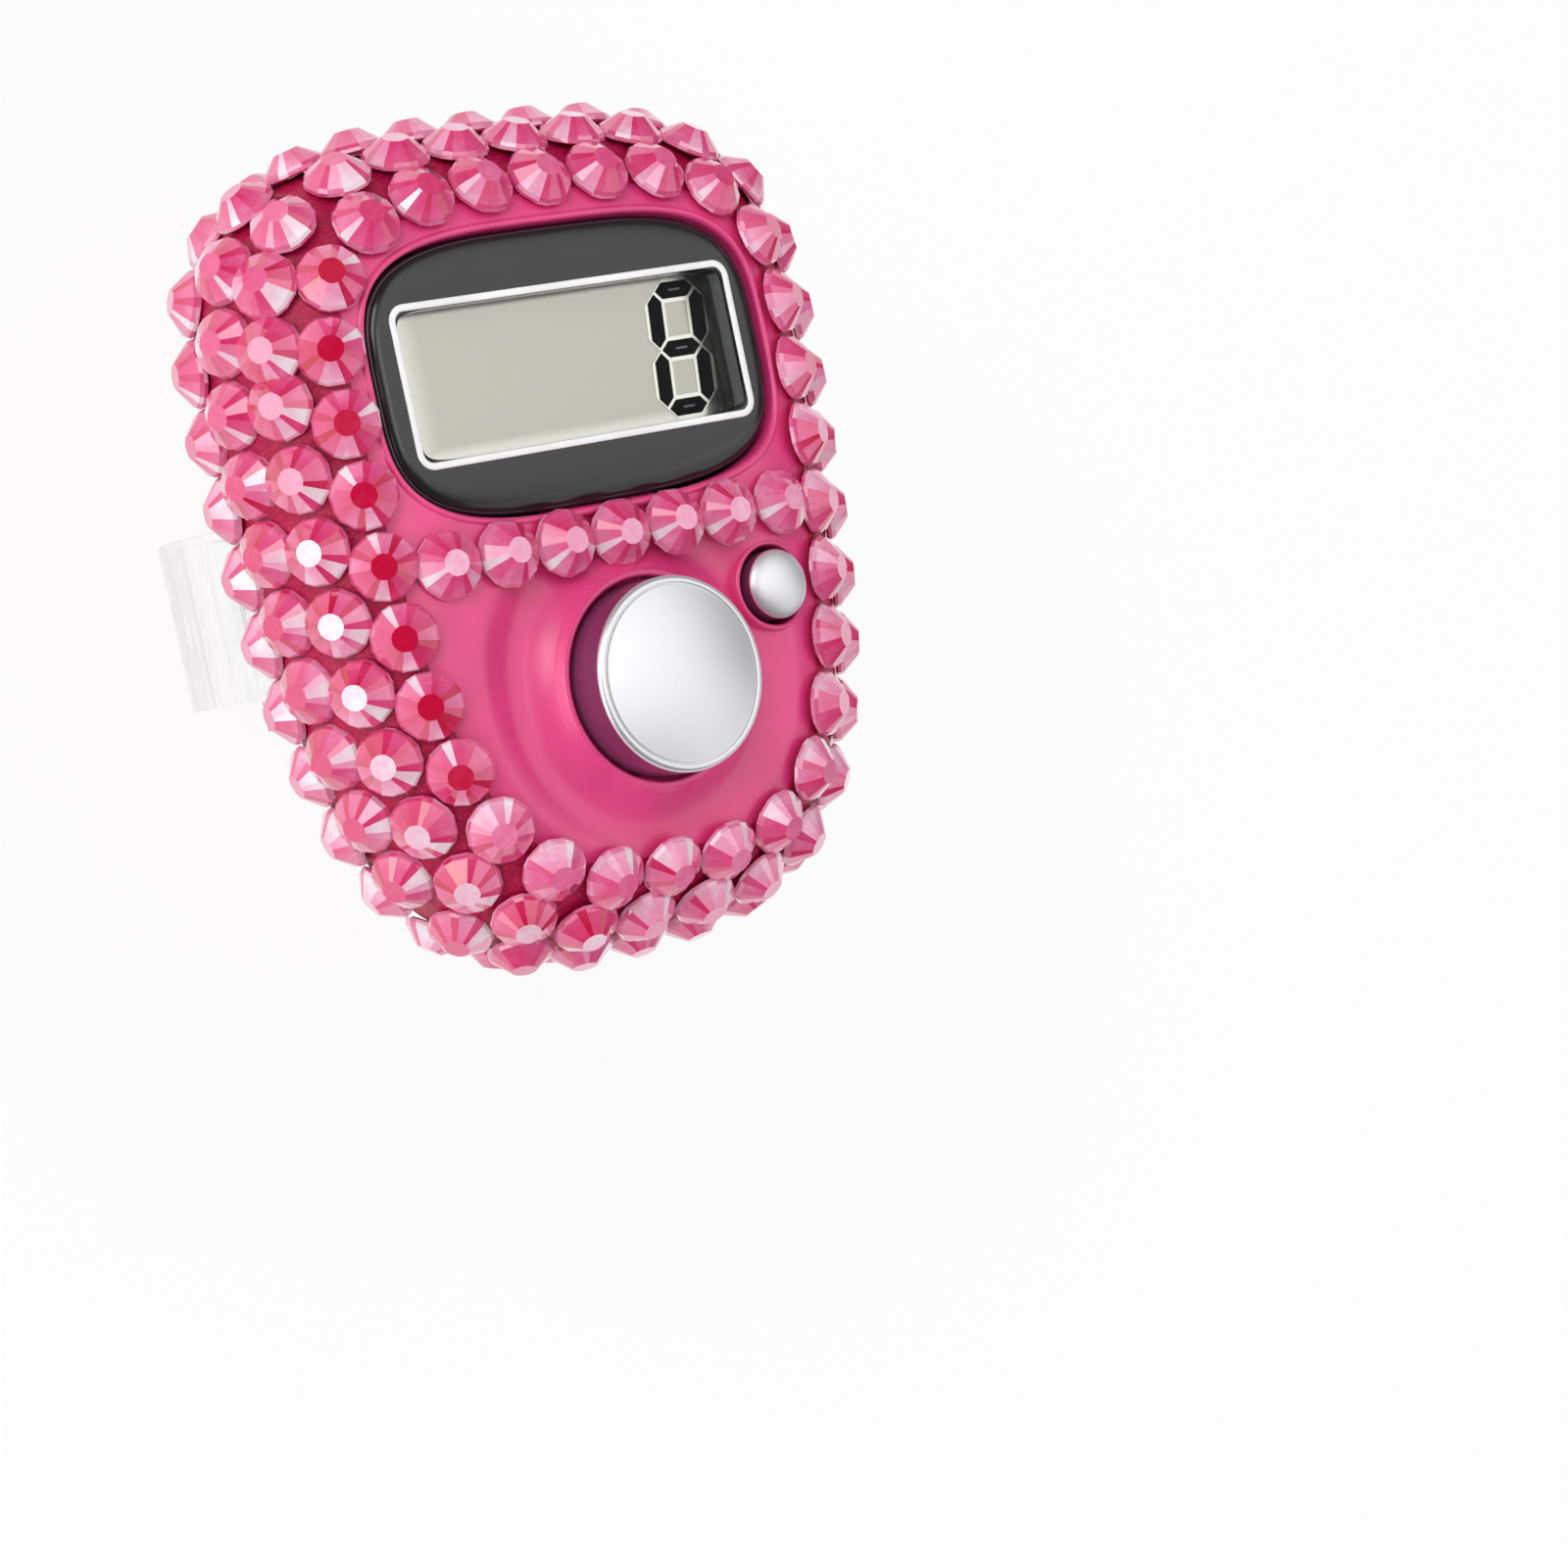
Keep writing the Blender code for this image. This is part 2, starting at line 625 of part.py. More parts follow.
def make_front_case(bench, looks):
    turns = turns_between(PARTING_TURN, 0, 3) + turns_between(0, math.radians(90), 6)[1:]
    case = bench.add("front_case", loft("front_case", case_loops(edge_at, turns)), looks["case"])
    ridge = [
        oval_outline(PLATE_HALF_WIDTH + grow, PLATE_HALF_HEIGHT + grow, PLATE_CORNER_POWER)
        for grow in (RIDGE_WIDTH, RIDGE_WIDTH, RIDGE_WIDTH / 2)
    ]
    heights = (-RIDGE_ROOT, 0, RIDGE_HEIGHT)
    loops = [[(x, y, height) for x, y in outline] for outline, height in zip(ridge, heights)]
    join(case, bench.add("plate_ridge", loft("ridge", loops)))
    collar_radius = COUNT_RADIUS + BUTTON_GAP + 2 * COLLAR_WIDTH
    collar_top = CASE_CROWN + COLLAR_HEIGHT + COLLAR_WIDTH
    collar_mesh = cylinder("collar", collar_radius, -RIDGE_ROOT, collar_top, 32)
    join(case, bench.add("count_collar", collar_mesh, at=(0, COUNT_Y, 0)))
    cut(case, bench.add("case_cavity", loft("cavity", cavity_loops())))
    for index, (x, y) in enumerate(CASE_SCREW_PLACES):
        pillar = cylinder("pillar", PILLAR_RADIUS, -PARTING_DEPTH, -CEILING_DEPTH, 12)
        join(case, bench.add(f"case_pillar_{index}", pillar, at=(x, y, 0)))
    for index, (x, y) in enumerate(BOARD_SCREW_PLACES):
        pillar = cylinder("pillar", PILLAR_RADIUS, THIN_GAP - BOARD_DEPTH, -CEILING_DEPTH, 12)
        join(case, bench.add(f"board_pillar_{index}", pillar, at=(x, y, 0)))
    profile, collar = dish_profile()
    top = collar + OVERRUN
    outer = [(0, top), (DISH_RADIUS, top)] + profile + [(COUNT_RADIUS + BUTTON_GAP, collar), (0, collar)]
    cut(case, turned(bench, "dish_cutter", outer, None, (0, COUNT_Y, 0)))
    seat = oval_outline(PLATE_HALF_WIDTH + SEAT_GAP, PLATE_HALF_HEIGHT + SEAT_GAP, PLATE_CORNER_POWER)
    cut(case, bench.add("plate_seat", prism("seat", seat, -PLATE_SEAT_DEPTH, OVERRUN)))
    opening = rounded_outline(GLASS_HALF_WIDTH + SEAT_GAP, GLASS_HALF_HEIGHT + SEAT_GAP, GLASS_CORNER)
    cut(case, bench.add("window_opening", prism("opening", opening, -CEILING_DEPTH - OVERRUN, 0)))
    count_hole = cylinder("hole", COUNT_RADIUS + BUTTON_GAP, -CEILING_DEPTH - OVERRUN, top, 32)
    cut(case, bench.add("count_hole", count_hole, at=(0, COUNT_Y, 0)))
    reset_hole = cylinder("hole", RESET_RADIUS + RESET_HOLE_GAP, -CEILING_DEPTH - OVERRUN, OVERRUN, 24)
    cut(case, bench.add("reset_hole", reset_hole, at=(RESET_X, RESET_Y, 0)))
    for index, (x, y) in enumerate(CASE_SCREW_PLACES):
        hole = cylinder("hole", SCREW_HOLE_RADIUS, -PARTING_DEPTH - OVERRUN, -PARTING_DEPTH + SCREW_LENGTH, 8)
        cut(case, bench.add(f"case_screw_hole_{index}", hole, at=(x, y, 0)))
    for index, (x, y) in enumerate(BOARD_SCREW_PLACES):
        hole = cylinder("hole", SCREW_HOLE_RADIUS, -BOARD_DEPTH - OVERRUN, BOARD_SCREW_LENGTH - BOARD_DEPTH, 8)
        cut(case, bench.add(f"board_screw_hole_{index}", hole, at=(x, y, 0)))


def cavity_loops():
    turns = turns_between(PARTING_TURN, 0, 2) + turns_between(0, math.radians(90), 4)[1:]
    loops = case_loops(cavity_edge_at, turns)
    below = [(x, y, -PARTING_DEPTH - OVERRUN) for x, y, _ in loops[0]]
    return [below] + loops


def make_plate(bench, looks):
    levels = ((-PLATE_THICKNESS, 0), (-PLATE_EDGE, 0), (-PLATE_EDGE / 4, PLATE_EDGE / 4), (0, PLATE_EDGE))
    loops = []
    for height, inset in levels:
        outline = oval_outline(PLATE_HALF_WIDTH - inset, PLATE_HALF_HEIGHT - inset, PLATE_CORNER_POWER)
        loops.append([(x, y, height) for x, y in outline])
    plate = bench.add("front_plate", loft("front_plate", loops), looks["plate"])
    window = rounded_outline(WINDOW_HALF_WIDTH, WINDOW_HALF_HEIGHT, WINDOW_CORNER)
    cut(plate, bench.add("plate_window", prism("window", window, -PLATE_THICKNESS - OVERRUN, OVERRUN)))


def make_display(bench, looks):
    glass = rounded_outline(GLASS_HALF_WIDTH, GLASS_HALF_HEIGHT, GLASS_CORNER)
    pane = rounded_outline(WINDOW_HALF_WIDTH - THIN_GAP, WINDOW_HALF_HEIGHT - THIN_GAP, WINDOW_CORNER)
    slab(bench, "window_pane", pane, -PLATE_THICKNESS, -PANE_SINK, looks["clear"])
    back = -PLATE_SEAT_DEPTH - MASK_THICKNESS
    mask = slab(bench, "display_mask", glass, back, -PLATE_SEAT_DEPTH, looks["plate"])
    window_half = WINDOW_HALF_WIDTH - THIN_GAP - PANE_LEDGE
    window = rounded_outline(window_half, WINDOW_HALF_HEIGHT, WINDOW_CORNER)
    cut(mask, slab(bench, "mask_window", window, back - OVERRUN, OVERRUN - PLATE_SEAT_DEPTH))
    back = -FRONT_GLASS_DEPTH - GLASS_THICKNESS
    slab(bench, "lcd_front_glass", glass, back, -FRONT_GLASS_DEPTH, looks["glass"])
    lift = CONTACT_LEDGE / 2
    short_height = GLASS_HALF_HEIGHT - lift
    short = rounded_outline(GLASS_HALF_WIDTH, short_height, GLASS_CORNER, centre=(0, lift))
    back = -REAR_GLASS_DEPTH - GLASS_THICKNESS
    slab(bench, "lcd_rear_glass", short, back, -REAR_GLASS_DEPTH, looks["glass"])
    back = -REFLECTOR_DEPTH - REFLECTOR_THICKNESS
    slab(bench, "lcd_reflector", short, back, -REFLECTOR_DEPTH, looks["reflector"])
    centre = (0, lift - GLASS_HALF_HEIGHT - THIN_GAP)
    low = THIN_GAP - BOARD_DEPTH
    half_length = GLASS_HALF_WIDTH - HOLDER_WALL
    strip = rounded_outline(half_length, CONNECTOR_WIDTH / 2, CONNECTOR_WIDTH / 8, centre=centre)
    slab(bench, "zebra_connector", strip, low, -REAR_GLASS_DEPTH, looks["connector"])
    holder = slab(bench, "lcd_holder", short, low, -HOLDER_DEPTH, looks["holder"])
    hollow = rounded_outline(half_length, short_height - HOLDER_WALL, GLASS_CORNER, centre=(0, lift))
    cut(holder, slab(bench, "holder_hollow", hollow, low - OVERRUN, OVERRUN - HOLDER_DEPTH))


def make_board(bench, looks):
    inset = CASE_WALL + LIP_WALL + SEAT_GAP + BOARD_MARGIN
    blank = prism("board", case_outline(inset), -BOARD_BACK_DEPTH, -BOARD_DEPTH)
    board = bench.add("circuit_board", blank, looks["board"])
    low = -BOARD_BACK_DEPTH - OVERRUN
    high = OVERRUN - BOARD_DEPTH
    for index, (x, y) in enumerate(CASE_SCREW_PLACES):
        notch = cylinder("notch", PILLAR_RADIUS + BOARD_MARGIN, low, high, 12)
        cut(board, bench.add(f"board_notch_{index}", notch, at=(x, y, 0)))
    for index, (x, y) in enumerate(BOARD_SCREW_PLACES):
        hole = cylinder("hole", SCREW_HOLE_RADIUS, low, high, 10)
        cut(board, bench.add(f"board_hole_{index}", hole, at=(x, y, 0)))
    chip = [
        (0, 0),
        (CHIP_RADIUS, 0),
        (CHIP_RADIUS * CHIP_SHOULDER_RADIUS_SHARE, -CHIP_HEIGHT * CHIP_SHOULDER_HEIGHT_SHARE),
        (CHIP_RADIUS * CHIP_FLAT_SHARE, -CHIP_HEIGHT),
        (0, -CHIP_HEIGHT),
    ]
    turned(bench, "chip_blob", chip, looks["chip"], (0, CHIP_Y, -BOARD_BACK_DEPTH - THIN_GAP), steps=16)
    for name, size, (x, y) in (
        ("capacitor", CAPACITOR_SIZE, CAPACITOR_PLACE),
        ("resistor", RESISTOR_SIZE, RESISTOR_PLACE),
    ):
        centre = (0, 0, -BOARD_BACK_DEPTH - THIN_GAP - size[2] / 2)
        bench.add(name, box(name, size, centre), looks[name], (x, y, 0), smooth=False)


def button_profile(radius, top, dome, rim, hole_gap, flange_top, stem, travel_floor, skirt):
    """Half section of a button: domed face, bevelled rim, side wall, inner flange, hollow and stem."""
    flange = radius + hole_gap + FLANGE_WIDTH
    flange_back = flange_top - FLANGE_THICKNESS
    inner = radius - skirt
    ceiling = top - 2 * skirt
    points = [(0, top + dome)]
    for share in BUTTON_DOME_STEP_SHARES:
        points.append(((radius - rim) * share, top + dome * (1 - share**2)))
    points += [(radius - rim, top), (radius - rim / 4, top - rim / 4), (radius, top - rim)]
    points += [(radius, flange_top), (flange, flange_top), (flange, flange_back)]
    if skirt:
        points += [(inner, flange_back), (inner, ceiling), (stem, ceiling)]
    else:
        points += [(stem, flange_back)]
    return points + [(stem, travel_floor), (0, travel_floor)]


def rubber_profile(foot, height, tip):
    """Half section of a rubber dome: a skin of even thickness, open below."""
    return [
        (0, height),
        (tip, height),
        (foot - RUBBER_WALL, RUBBER_WALL),
        (foot, RUBBER_WALL),
        (foot, 0),
        (foot - 2 * RUBBER_WALL, 0),
        (tip - RUBBER_WALL / 2, height - RUBBER_WALL),
        (0, height - RUBBER_WALL),
    ]


def make_buttons(bench, looks):
    floor = THIN_GAP - BOARD_DEPTH
    flange_top = -CEILING_DEPTH - THIN_GAP
    count_height = BOARD_DEPTH - CEILING_DEPTH - FLANGE_THICKNESS - 4 * THIN_GAP
    count_rise = count_height * RUBBER_RISE_SHARE + COUNT_TRAVEL / 2
    count = button_profile(
        COUNT_RADIUS, COUNT_TOP, COUNT_DOME, COUNT_RIM_WIDTH, BUTTON_GAP, flange_top, COUNT_STEM,
        floor + count_rise + THIN_GAP, COUNT_SKIRT,
    )
    turned(bench, "count_button", count, looks["button"], (0, COUNT_Y, 0), steps=32)
    rubber = rubber_profile(COUNT_RUBBER_FOOT, count_rise, COUNT_STEM)
    turned(bench, "count_dome", rubber, looks["rubber"], (0, COUNT_Y, floor), steps=20)
    reset_flange = flange_top - RESET_FLANGE_DROP
    reset_rise = (count_height - RESET_FLANGE_DROP) * RUBBER_RISE_SHARE + RESET_TRAVEL / 2
    reset = button_profile(
        RESET_RADIUS, RESET_TOP, RESET_DOME, RESET_DOME, RESET_HOLE_GAP / 2, reset_flange, RESET_STEM,
        floor + reset_rise + THIN_GAP, 0,
    )
    turned(bench, "reset_button", reset, looks["button"], (RESET_X, RESET_Y, 0), steps=24)
    rubber = rubber_profile(RESET_RUBBER_FOOT, reset_rise, RESET_STEM)
    turned(bench, "reset_dome", rubber, looks["rubber"], (RESET_X, RESET_Y, floor), steps=16)


def thick_strip(bench, name, edges, thickness, look, at):
    """A strip between two edges, given as pairs of points, then its thickness from a Solidify modifier."""
    mesh = bpy.data.meshes.new(name)
    faces = [(2 * index, 2 * index + 1, 2 * index + 3, 2 * index + 2) for index in range(len(edges) - 1)]
    mesh.from_pydata([point for pair in edges for point in pair], [], faces)
    strip = bench.add(name, mesh, look, at, smooth=False)
    solidify = strip.modifiers.new("thickness", "SOLIDIFY")
    solidify.thickness = thickness
    solidify.offset = 0
    solidify.use_even_offset = True
    return strip


def bent_contact(bench, name, section, look):
    """A bent contact of the cell: sheet metal along section points in y and z."""
    edges = [((-CONTACT_WIDTH / 2, y, z), (CONTACT_WIDTH / 2, y, z)) for y, z in section]
    return thick_strip(bench, name, edges, CONTACT_THICKNESS, look, (0, CELL_Y, 0))


def make_cell(bench, looks):
    cell = [
        (0, CELL_HEIGHT),
        (CELL_RADIUS - 2 * CELL_STEP, CELL_HEIGHT),
        (CELL_RADIUS - CELL_STEP, CELL_HEIGHT - CELL_STEP),
        (CELL_RADIUS, CELL_HEIGHT - CELL_STEP),
        (CELL_RADIUS, 0),
        (0, 0),
    ]
    turned(bench, "button_cell", cell, looks["steel"], (0, CELL_Y, -CELL_BACK_DEPTH), steps=28)
    solder = -BOARD_BACK_DEPTH - THIN_GAP - CONTACT_THICKNESS / 2
    side = CELL_RADIUS + SEAT_GAP + CONTACT_THICKNESS / 2
    plus = [(side + CONTACT_FOOT, solder), (side, solder), (side, -CELL_BACK_DEPTH)]
    bent_contact(bench, "cell_contact_plus", plus, looks["steel"])
    low = solder - CONTACT_DROP + THIN_GAP
    reach = CELL_RADIUS - 2 * CELL_STEP
    minus = [(-CELL_RADIUS - CONTACT_FOOT, solder), (-CELL_RADIUS, solder), (-reach / 2, low), (0, low)]
    bent_contact(bench, "cell_contact_minus", minus, looks["steel"])


def make_screw(bench, name, length, look, x, y, seat):
    """A screw driven upwards, with its head under the seat and a cross slot in it."""
    profile = [
        (0, length),
        (SCREW_SHANK_RADIUS, length - SCREW_SHANK_RADIUS),
        (SCREW_SHANK_RADIUS, 0),
        (SCREW_HEAD_RADIUS, 0),
        (SCREW_HEAD_RADIUS, -SCREW_HEAD_HEIGHT / 2),
        (SCREW_HEAD_RADIUS * SCREW_FACE_SHARE, -SCREW_HEAD_HEIGHT),
        (0, -SCREW_HEAD_HEIGHT),
    ]
    screw = turned(bench, name, profile, look, (x, y, seat), steps=10)
    slots = (
        (SCREW_HEAD_RADIUS, SCREW_SLOT_WIDTH, SCREW_HEAD_HEIGHT),
        (SCREW_SLOT_WIDTH, SCREW_HEAD_RADIUS, SCREW_HEAD_HEIGHT),
    )
    for turn, size in enumerate(slots):
        slot = box("slot", size, (0, 0, -SCREW_HEAD_HEIGHT))
        cut(screw, bench.add(f"{name}_slot_{turn}", slot, at=(x, y, seat), smooth=False))


def screw_seat_depth():
    """Depth of the rear cover's screw seats, a flange thick below the cover's inner face."""
    return COVER_DEPTH + FLANGE_THICKNESS


def make_screws(bench, looks):
    for index, (x, y) in enumerate(CASE_SCREW_PLACES, start=1):
        seat = -screw_seat_depth() - THIN_GAP
        make_screw(bench, f"case_screw_{index}", SCREW_LENGTH - FLANGE_THICKNESS, looks["steel"], x, y, seat)
    for index, (x, y) in enumerate(BOARD_SCREW_PLACES, start=1):
        seat = -BOARD_BACK_DEPTH - THIN_GAP
        make_screw(bench, f"board_screw_{index}", BOARD_SCREW_LENGTH, looks["steel"], x, y, seat)


def make_rear_cover(bench, looks):
    flat = math.radians(FLAT_DEGREES)
    rear = math.radians(REAR_DEGREES)
    turns = [flat, rear, (rear + PARTING_TURN) / 2]
    loops = case_loops(edge_at, turns)
    inset, _ = edge_at(PARTING_TURN)
    loops.append([(x, y, -COVER_DEPTH) for x, y in case_outline(inset)])
    cover = bench.add("rear_cover", loft("rear_cover", loops), looks["cover"])
    lip_inset = inset + CASE_WALL + SEAT_GAP
    lip = prism("lip", case_outline(lip_inset), -COVER_DEPTH - THIN_GAP, LIP_HEIGHT - COVER_DEPTH)
    join(cover, bench.add("cover_lip", lip))
    hollow_outline = case_outline(lip_inset + LIP_WALL)
    hollow = prism("hollow", hollow_outline, -COVER_DEPTH, LIP_HEIGHT - COVER_DEPTH + OVERRUN)
    cut(cover, bench.add("lip_hollow", hollow))
    pocket_radius = CELL_RADIUS + CELL_POCKET_GAP
    pocket = cylinder("pocket", pocket_radius, -CELL_BACK_DEPTH - THIN_GAP, OVERRUN - COVER_DEPTH, 28)
    cut(cover, bench.add("cell_pocket", pocket, at=(0, CELL_Y, 0)))
    saddle = cross_bar("saddle", SADDLE_RADIUS, 3 * CASE_BOTTOM, 72)
    cut(cover, bench.add("saddle_cutter", saddle, at=(0, 0, SADDLE_DEPTH - BACK_DEPTH - SADDLE_RADIUS)))
    for index, (x, y) in enumerate(CASE_SCREW_PLACES):
        relief = cylinder("relief", PILLAR_RADIUS + SEAT_GAP, -COVER_DEPTH, OVERRUN - COVER_DEPTH, 12)
        cut(cover, bench.add(f"pillar_relief_{index}", relief, at=(x, y, 0)))
        hole = cylinder("hole", SCREW_HOLE_RADIUS, -BACK_DEPTH - OVERRUN, OVERRUN - COVER_DEPTH, 10)
        cut(cover, bench.add(f"cover_hole_{index}", hole, at=(x, y, 0)))
        sink = cylinder("sink", SCREW_HEAD_RADIUS + SEAT_GAP, -BACK_DEPTH - OVERRUN, -screw_seat_depth(), 12)
        cut(cover, bench.add(f"screw_sink_{index}", sink, at=(x, y, 0)))
    reach = STRAP_WIDTH / 2 + SEAT_GAP + EAR_THICKNESS / 2
    for side, word in ((-1, "left"), (1, "right")):
        for end, place in ((-1, "foot"), (1, "head")):
            join(cover, ear(bench, f"ear_{word}_{place}", side * PIN_X, STRAP_Y + end * reach))
        bore = cross_bar("bore", PIN_RADIUS + PIN_GAP, 2 * reach + EAR_THICKNESS + OVERRUN, 12)
        cut(cover, bench.add(f"ear_bore_{word}", bore, at=(side * PIN_X, STRAP_Y, -PIN_DEPTH)))
        pin = cross_bar("pin", PIN_RADIUS, 2 * reach + EAR_THICKNESS, 12)
        bench.add(f"strap_pin_{word}", pin, looks["steel"], (side * PIN_X, STRAP_Y, -PIN_DEPTH))


def ear(bench, name, x, y):
    """A strap ear: a plate across y, as wide as its round end, from the cover's back down round the pin."""
    outline = []
    for step in range(9):
        angle = math.radians(180 + 180 * step / 8)
        outline.append((EAR_RADIUS * math.cos(angle), EAR_RADIUS * math.sin(angle)))
    top = PIN_DEPTH - BACK_DEPTH + EAR_ROOT
    outline += [(EAR_RADIUS, top), (-EAR_RADIUS, top)]
    loops = [[(u, shift, v) for u, v in outline] for shift in (EAR_THICKNESS / 2, -EAR_THICKNESS / 2)]
    return bench.add(name, loft(name, loops), at=(x, y, -PIN_DEPTH))


def strap_path(depth, tail):
    """Middle line of the left strap half in x and z: from its eye down, round and along the bottom."""
    half = STRAP_HALF_WIDTH - STRAP_THICKNESS / 2
    shoulder = -PIN_DEPTH - EYE_RADIUS
    points = [(-PIN_X + STRAP_THICKNESS / 8, -PIN_DEPTH - EYE_RADIUS / 2)]
    turn_top = -depth + STRAP_CORNER
    for step in range(1, 4):
        way = step / 4
        x = -PIN_X + (PIN_X - half) * math.sin(math.radians(90) * way)
        points.append((x, shoulder + (turn_top - shoulder) * way))
    for step in range(7):
        angle = math.radians(180 + 90 * step / 6)
        x = -half + STRAP_CORNER + STRAP_CORNER * math.cos(angle)
        points.append((x, turn_top + STRAP_CORNER * math.sin(angle)))
    points.append((tail, -depth))
    return points


def strap_half(bench, name, side, depth, look):
    """A band along its path, with a moulded eye round its pin."""
    path = [(-side * x, z) for x, z in strap_path(depth, STRAP_TAIL)]
    edges = [((x, -STRAP_WIDTH / 2, z), (x, STRAP_WIDTH / 2, z)) for x, z in path]
    strap = thick_strip(bench, name, edges, STRAP_THICKNESS, look, (0, STRAP_Y, 0))
    at = (side * PIN_X, STRAP_Y, -PIN_DEPTH)
    join(strap, bench.add(f"{name}_eye", cross_bar("eye", EYE_RADIUS, STRAP_WIDTH, 20), at=at))
    bore = cross_bar("bore", PIN_RADIUS + EYE_GAP, STRAP_WIDTH + OVERRUN, 16)
    cut(strap, bench.add(f"{name}_bore", bore, at=at))
    return strap


def make_strap(bench, looks):
    lower_depth = STRAP_DEPTH - STRAP_THICKNESS / 2
    upper_depth = lower_depth - STRAP_THICKNESS - STRAP_GAP
    lower = strap_half(bench, "strap_right", 1, lower_depth, looks["strap"])
    upper = strap_half(bench, "strap_left", -1, upper_depth, looks["strap"])
    sink_top = PEG_HEAD_HEIGHT + PEG_GAP - STRAP_DEPTH + THIN_GAP
    hole_top = -upper_depth - STRAP_THICKNESS / 2 - STRAP_GAP / 2
    for index in range(3):
        at = (PEG_PITCH * (index - 1), STRAP_Y, 0)
        low = -STRAP_DEPTH - OVERRUN
        hole = cylinder("hole", PEG_RADIUS + PEG_GAP, low, hole_top, 12)
        cut(lower, bench.add(f"strap_hole_{index}", hole, at=at))
        sink = cylinder("sink", PEG_HEAD_RADIUS + PEG_GAP, low, sink_top, 12)
        cut(lower, bench.add(f"strap_sink_{index}", sink, at=at))
    for index in (0, 2):
        at = (PEG_PITCH * (index - 1), STRAP_Y, 0)
        peg = [
            (0, -upper_depth),
            (PEG_RADIUS, -upper_depth),
            (PEG_RADIUS, PEG_HEAD_HEIGHT + THIN_GAP - STRAP_DEPTH),
            (PEG_HEAD_RADIUS, PEG_HEAD_HEIGHT + THIN_GAP - STRAP_DEPTH),
            (PEG_HEAD_RADIUS, THIN_GAP - STRAP_DEPTH),
            (0, THIN_GAP - STRAP_DEPTH),
        ]
        join(upper, turned(bench, f"strap_peg_{index}", peg, None, at, steps=12))


def make_looks():
    return {
        "case": material("case_pink", (0.72, 0.05, 0.2), 0.35),
        "cover": material("cover_pink", (0.66, 0.045, 0.18), 0.4),
        "stone": material("stone_resin", (0.86, 0.2, 0.38), 0.12),
        "plate": material("plate_black", (0.035, 0.036, 0.038), 0.18),
        "clear": material("pane_clear", (0.9, 0.92, 0.9), 0.05, alpha=0.3),
        "glass": material("display_glass", (0.6, 0.61, 0.55), 0.1, alpha=0.6),
        "reflector": material("display_reflector", (0.58, 0.57, 0.5), 0.35, 0.2),
        "connector": material("connector_rubber", (0.08, 0.08, 0.085), 0.6),
        "holder": material("holder_plastic", (0.8, 0.8, 0.78), 0.5),
        "board": material("board_green", (0.02, 0.16, 0.06), 0.4),
        "chip": material("chip_resin", (0.015, 0.015, 0.016), 0.3),
        "capacitor": material("capacitor_tan", (0.45, 0.3, 0.16), 0.4),
        "resistor": material("resistor_black", (0.03, 0.03, 0.03), 0.4),
        "button": material("button_chrome", (0.78, 0.78, 0.8), 0.22, 0.9),
        "rubber": material("dome_rubber", (0.7, 0.72, 0.74), 0.7),
        "steel": material("steel", (0.6, 0.6, 0.58), 0.25, 1.0),
        "strap": material("strap_clear", (0.86, 0.87, 0.88), 0.3, alpha=0.8),
    }


def main():
    clear_scene()
    bench = Bench()
    looks = make_looks()
    make_front_case(bench, looks)
    make_rear_cover(bench, looks)
    make_plate(bench, looks)
    make_display(bench, looks)
    make_board(bench, looks)
    make_buttons(bench, looks)
    make_cell(bench, looks)
    make_screws(bench, looks)
    make_strap(bench, looks)
    make_stones(bench, looks)


main()
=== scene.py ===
"""Looks of a digital tally counter: stone-covered case, dark front plate, display, pearl buttons, clear strap."""
import math
from contextlib import contextmanager
from functools import partial, partialmethod

import bmesh
import bpy
import numpy as np
from bpy.props import FloatProperty, FloatVectorProperty, IntProperty, PointerProperty
from mathutils import Matrix, Vector


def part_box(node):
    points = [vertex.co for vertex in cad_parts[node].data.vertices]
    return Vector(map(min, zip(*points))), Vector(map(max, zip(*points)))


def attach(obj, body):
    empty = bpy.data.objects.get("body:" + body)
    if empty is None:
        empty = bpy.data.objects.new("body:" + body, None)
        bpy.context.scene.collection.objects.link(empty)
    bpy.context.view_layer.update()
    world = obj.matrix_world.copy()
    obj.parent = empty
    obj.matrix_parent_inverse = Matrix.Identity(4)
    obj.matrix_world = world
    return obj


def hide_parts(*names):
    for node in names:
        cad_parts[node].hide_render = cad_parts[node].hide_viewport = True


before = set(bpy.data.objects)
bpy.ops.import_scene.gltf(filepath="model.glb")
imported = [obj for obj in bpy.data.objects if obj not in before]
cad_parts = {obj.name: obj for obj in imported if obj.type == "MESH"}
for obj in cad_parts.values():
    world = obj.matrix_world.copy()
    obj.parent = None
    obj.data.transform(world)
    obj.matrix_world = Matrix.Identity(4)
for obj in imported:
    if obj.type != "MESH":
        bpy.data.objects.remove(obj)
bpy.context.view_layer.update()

bl_info = {
    "name": "Tally counter looks",
    "version": (1, 0, 0),
    "blender": (4, 5, 0),
    "location": "3D View > Sidebar > Tally Counter",
    "description": "Dresses the packed model of a finger-worn tally counter",
    "category": "Object",
}

# Sizes below are in the face frame: its origin is the middle of the front plate's top.
PLATE_LOW, PLATE_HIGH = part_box("front_plate")
FACE = np.array([0, (PLATE_LOW.y + PLATE_HIGH.y) / 2, PLATE_HIGH.z])
TAU = 2 * math.pi

# Camera of the photograph, fitted to it: place in metres, focal length in mm, and its right, up and back axes
CAMERA_AT = (-0.10167, -0.00525, 0.17522)
CAMERA_LENS = 89.56
CAMERA_AXES = ((0.7828, -0.2064, 0.5870), (0.1929, 0.9774, 0.0864), (-0.5916, 0.0456, 0.8049))


def setting(kind, fixed, default, description):
    return kind(default=default, description=description, **fixed)


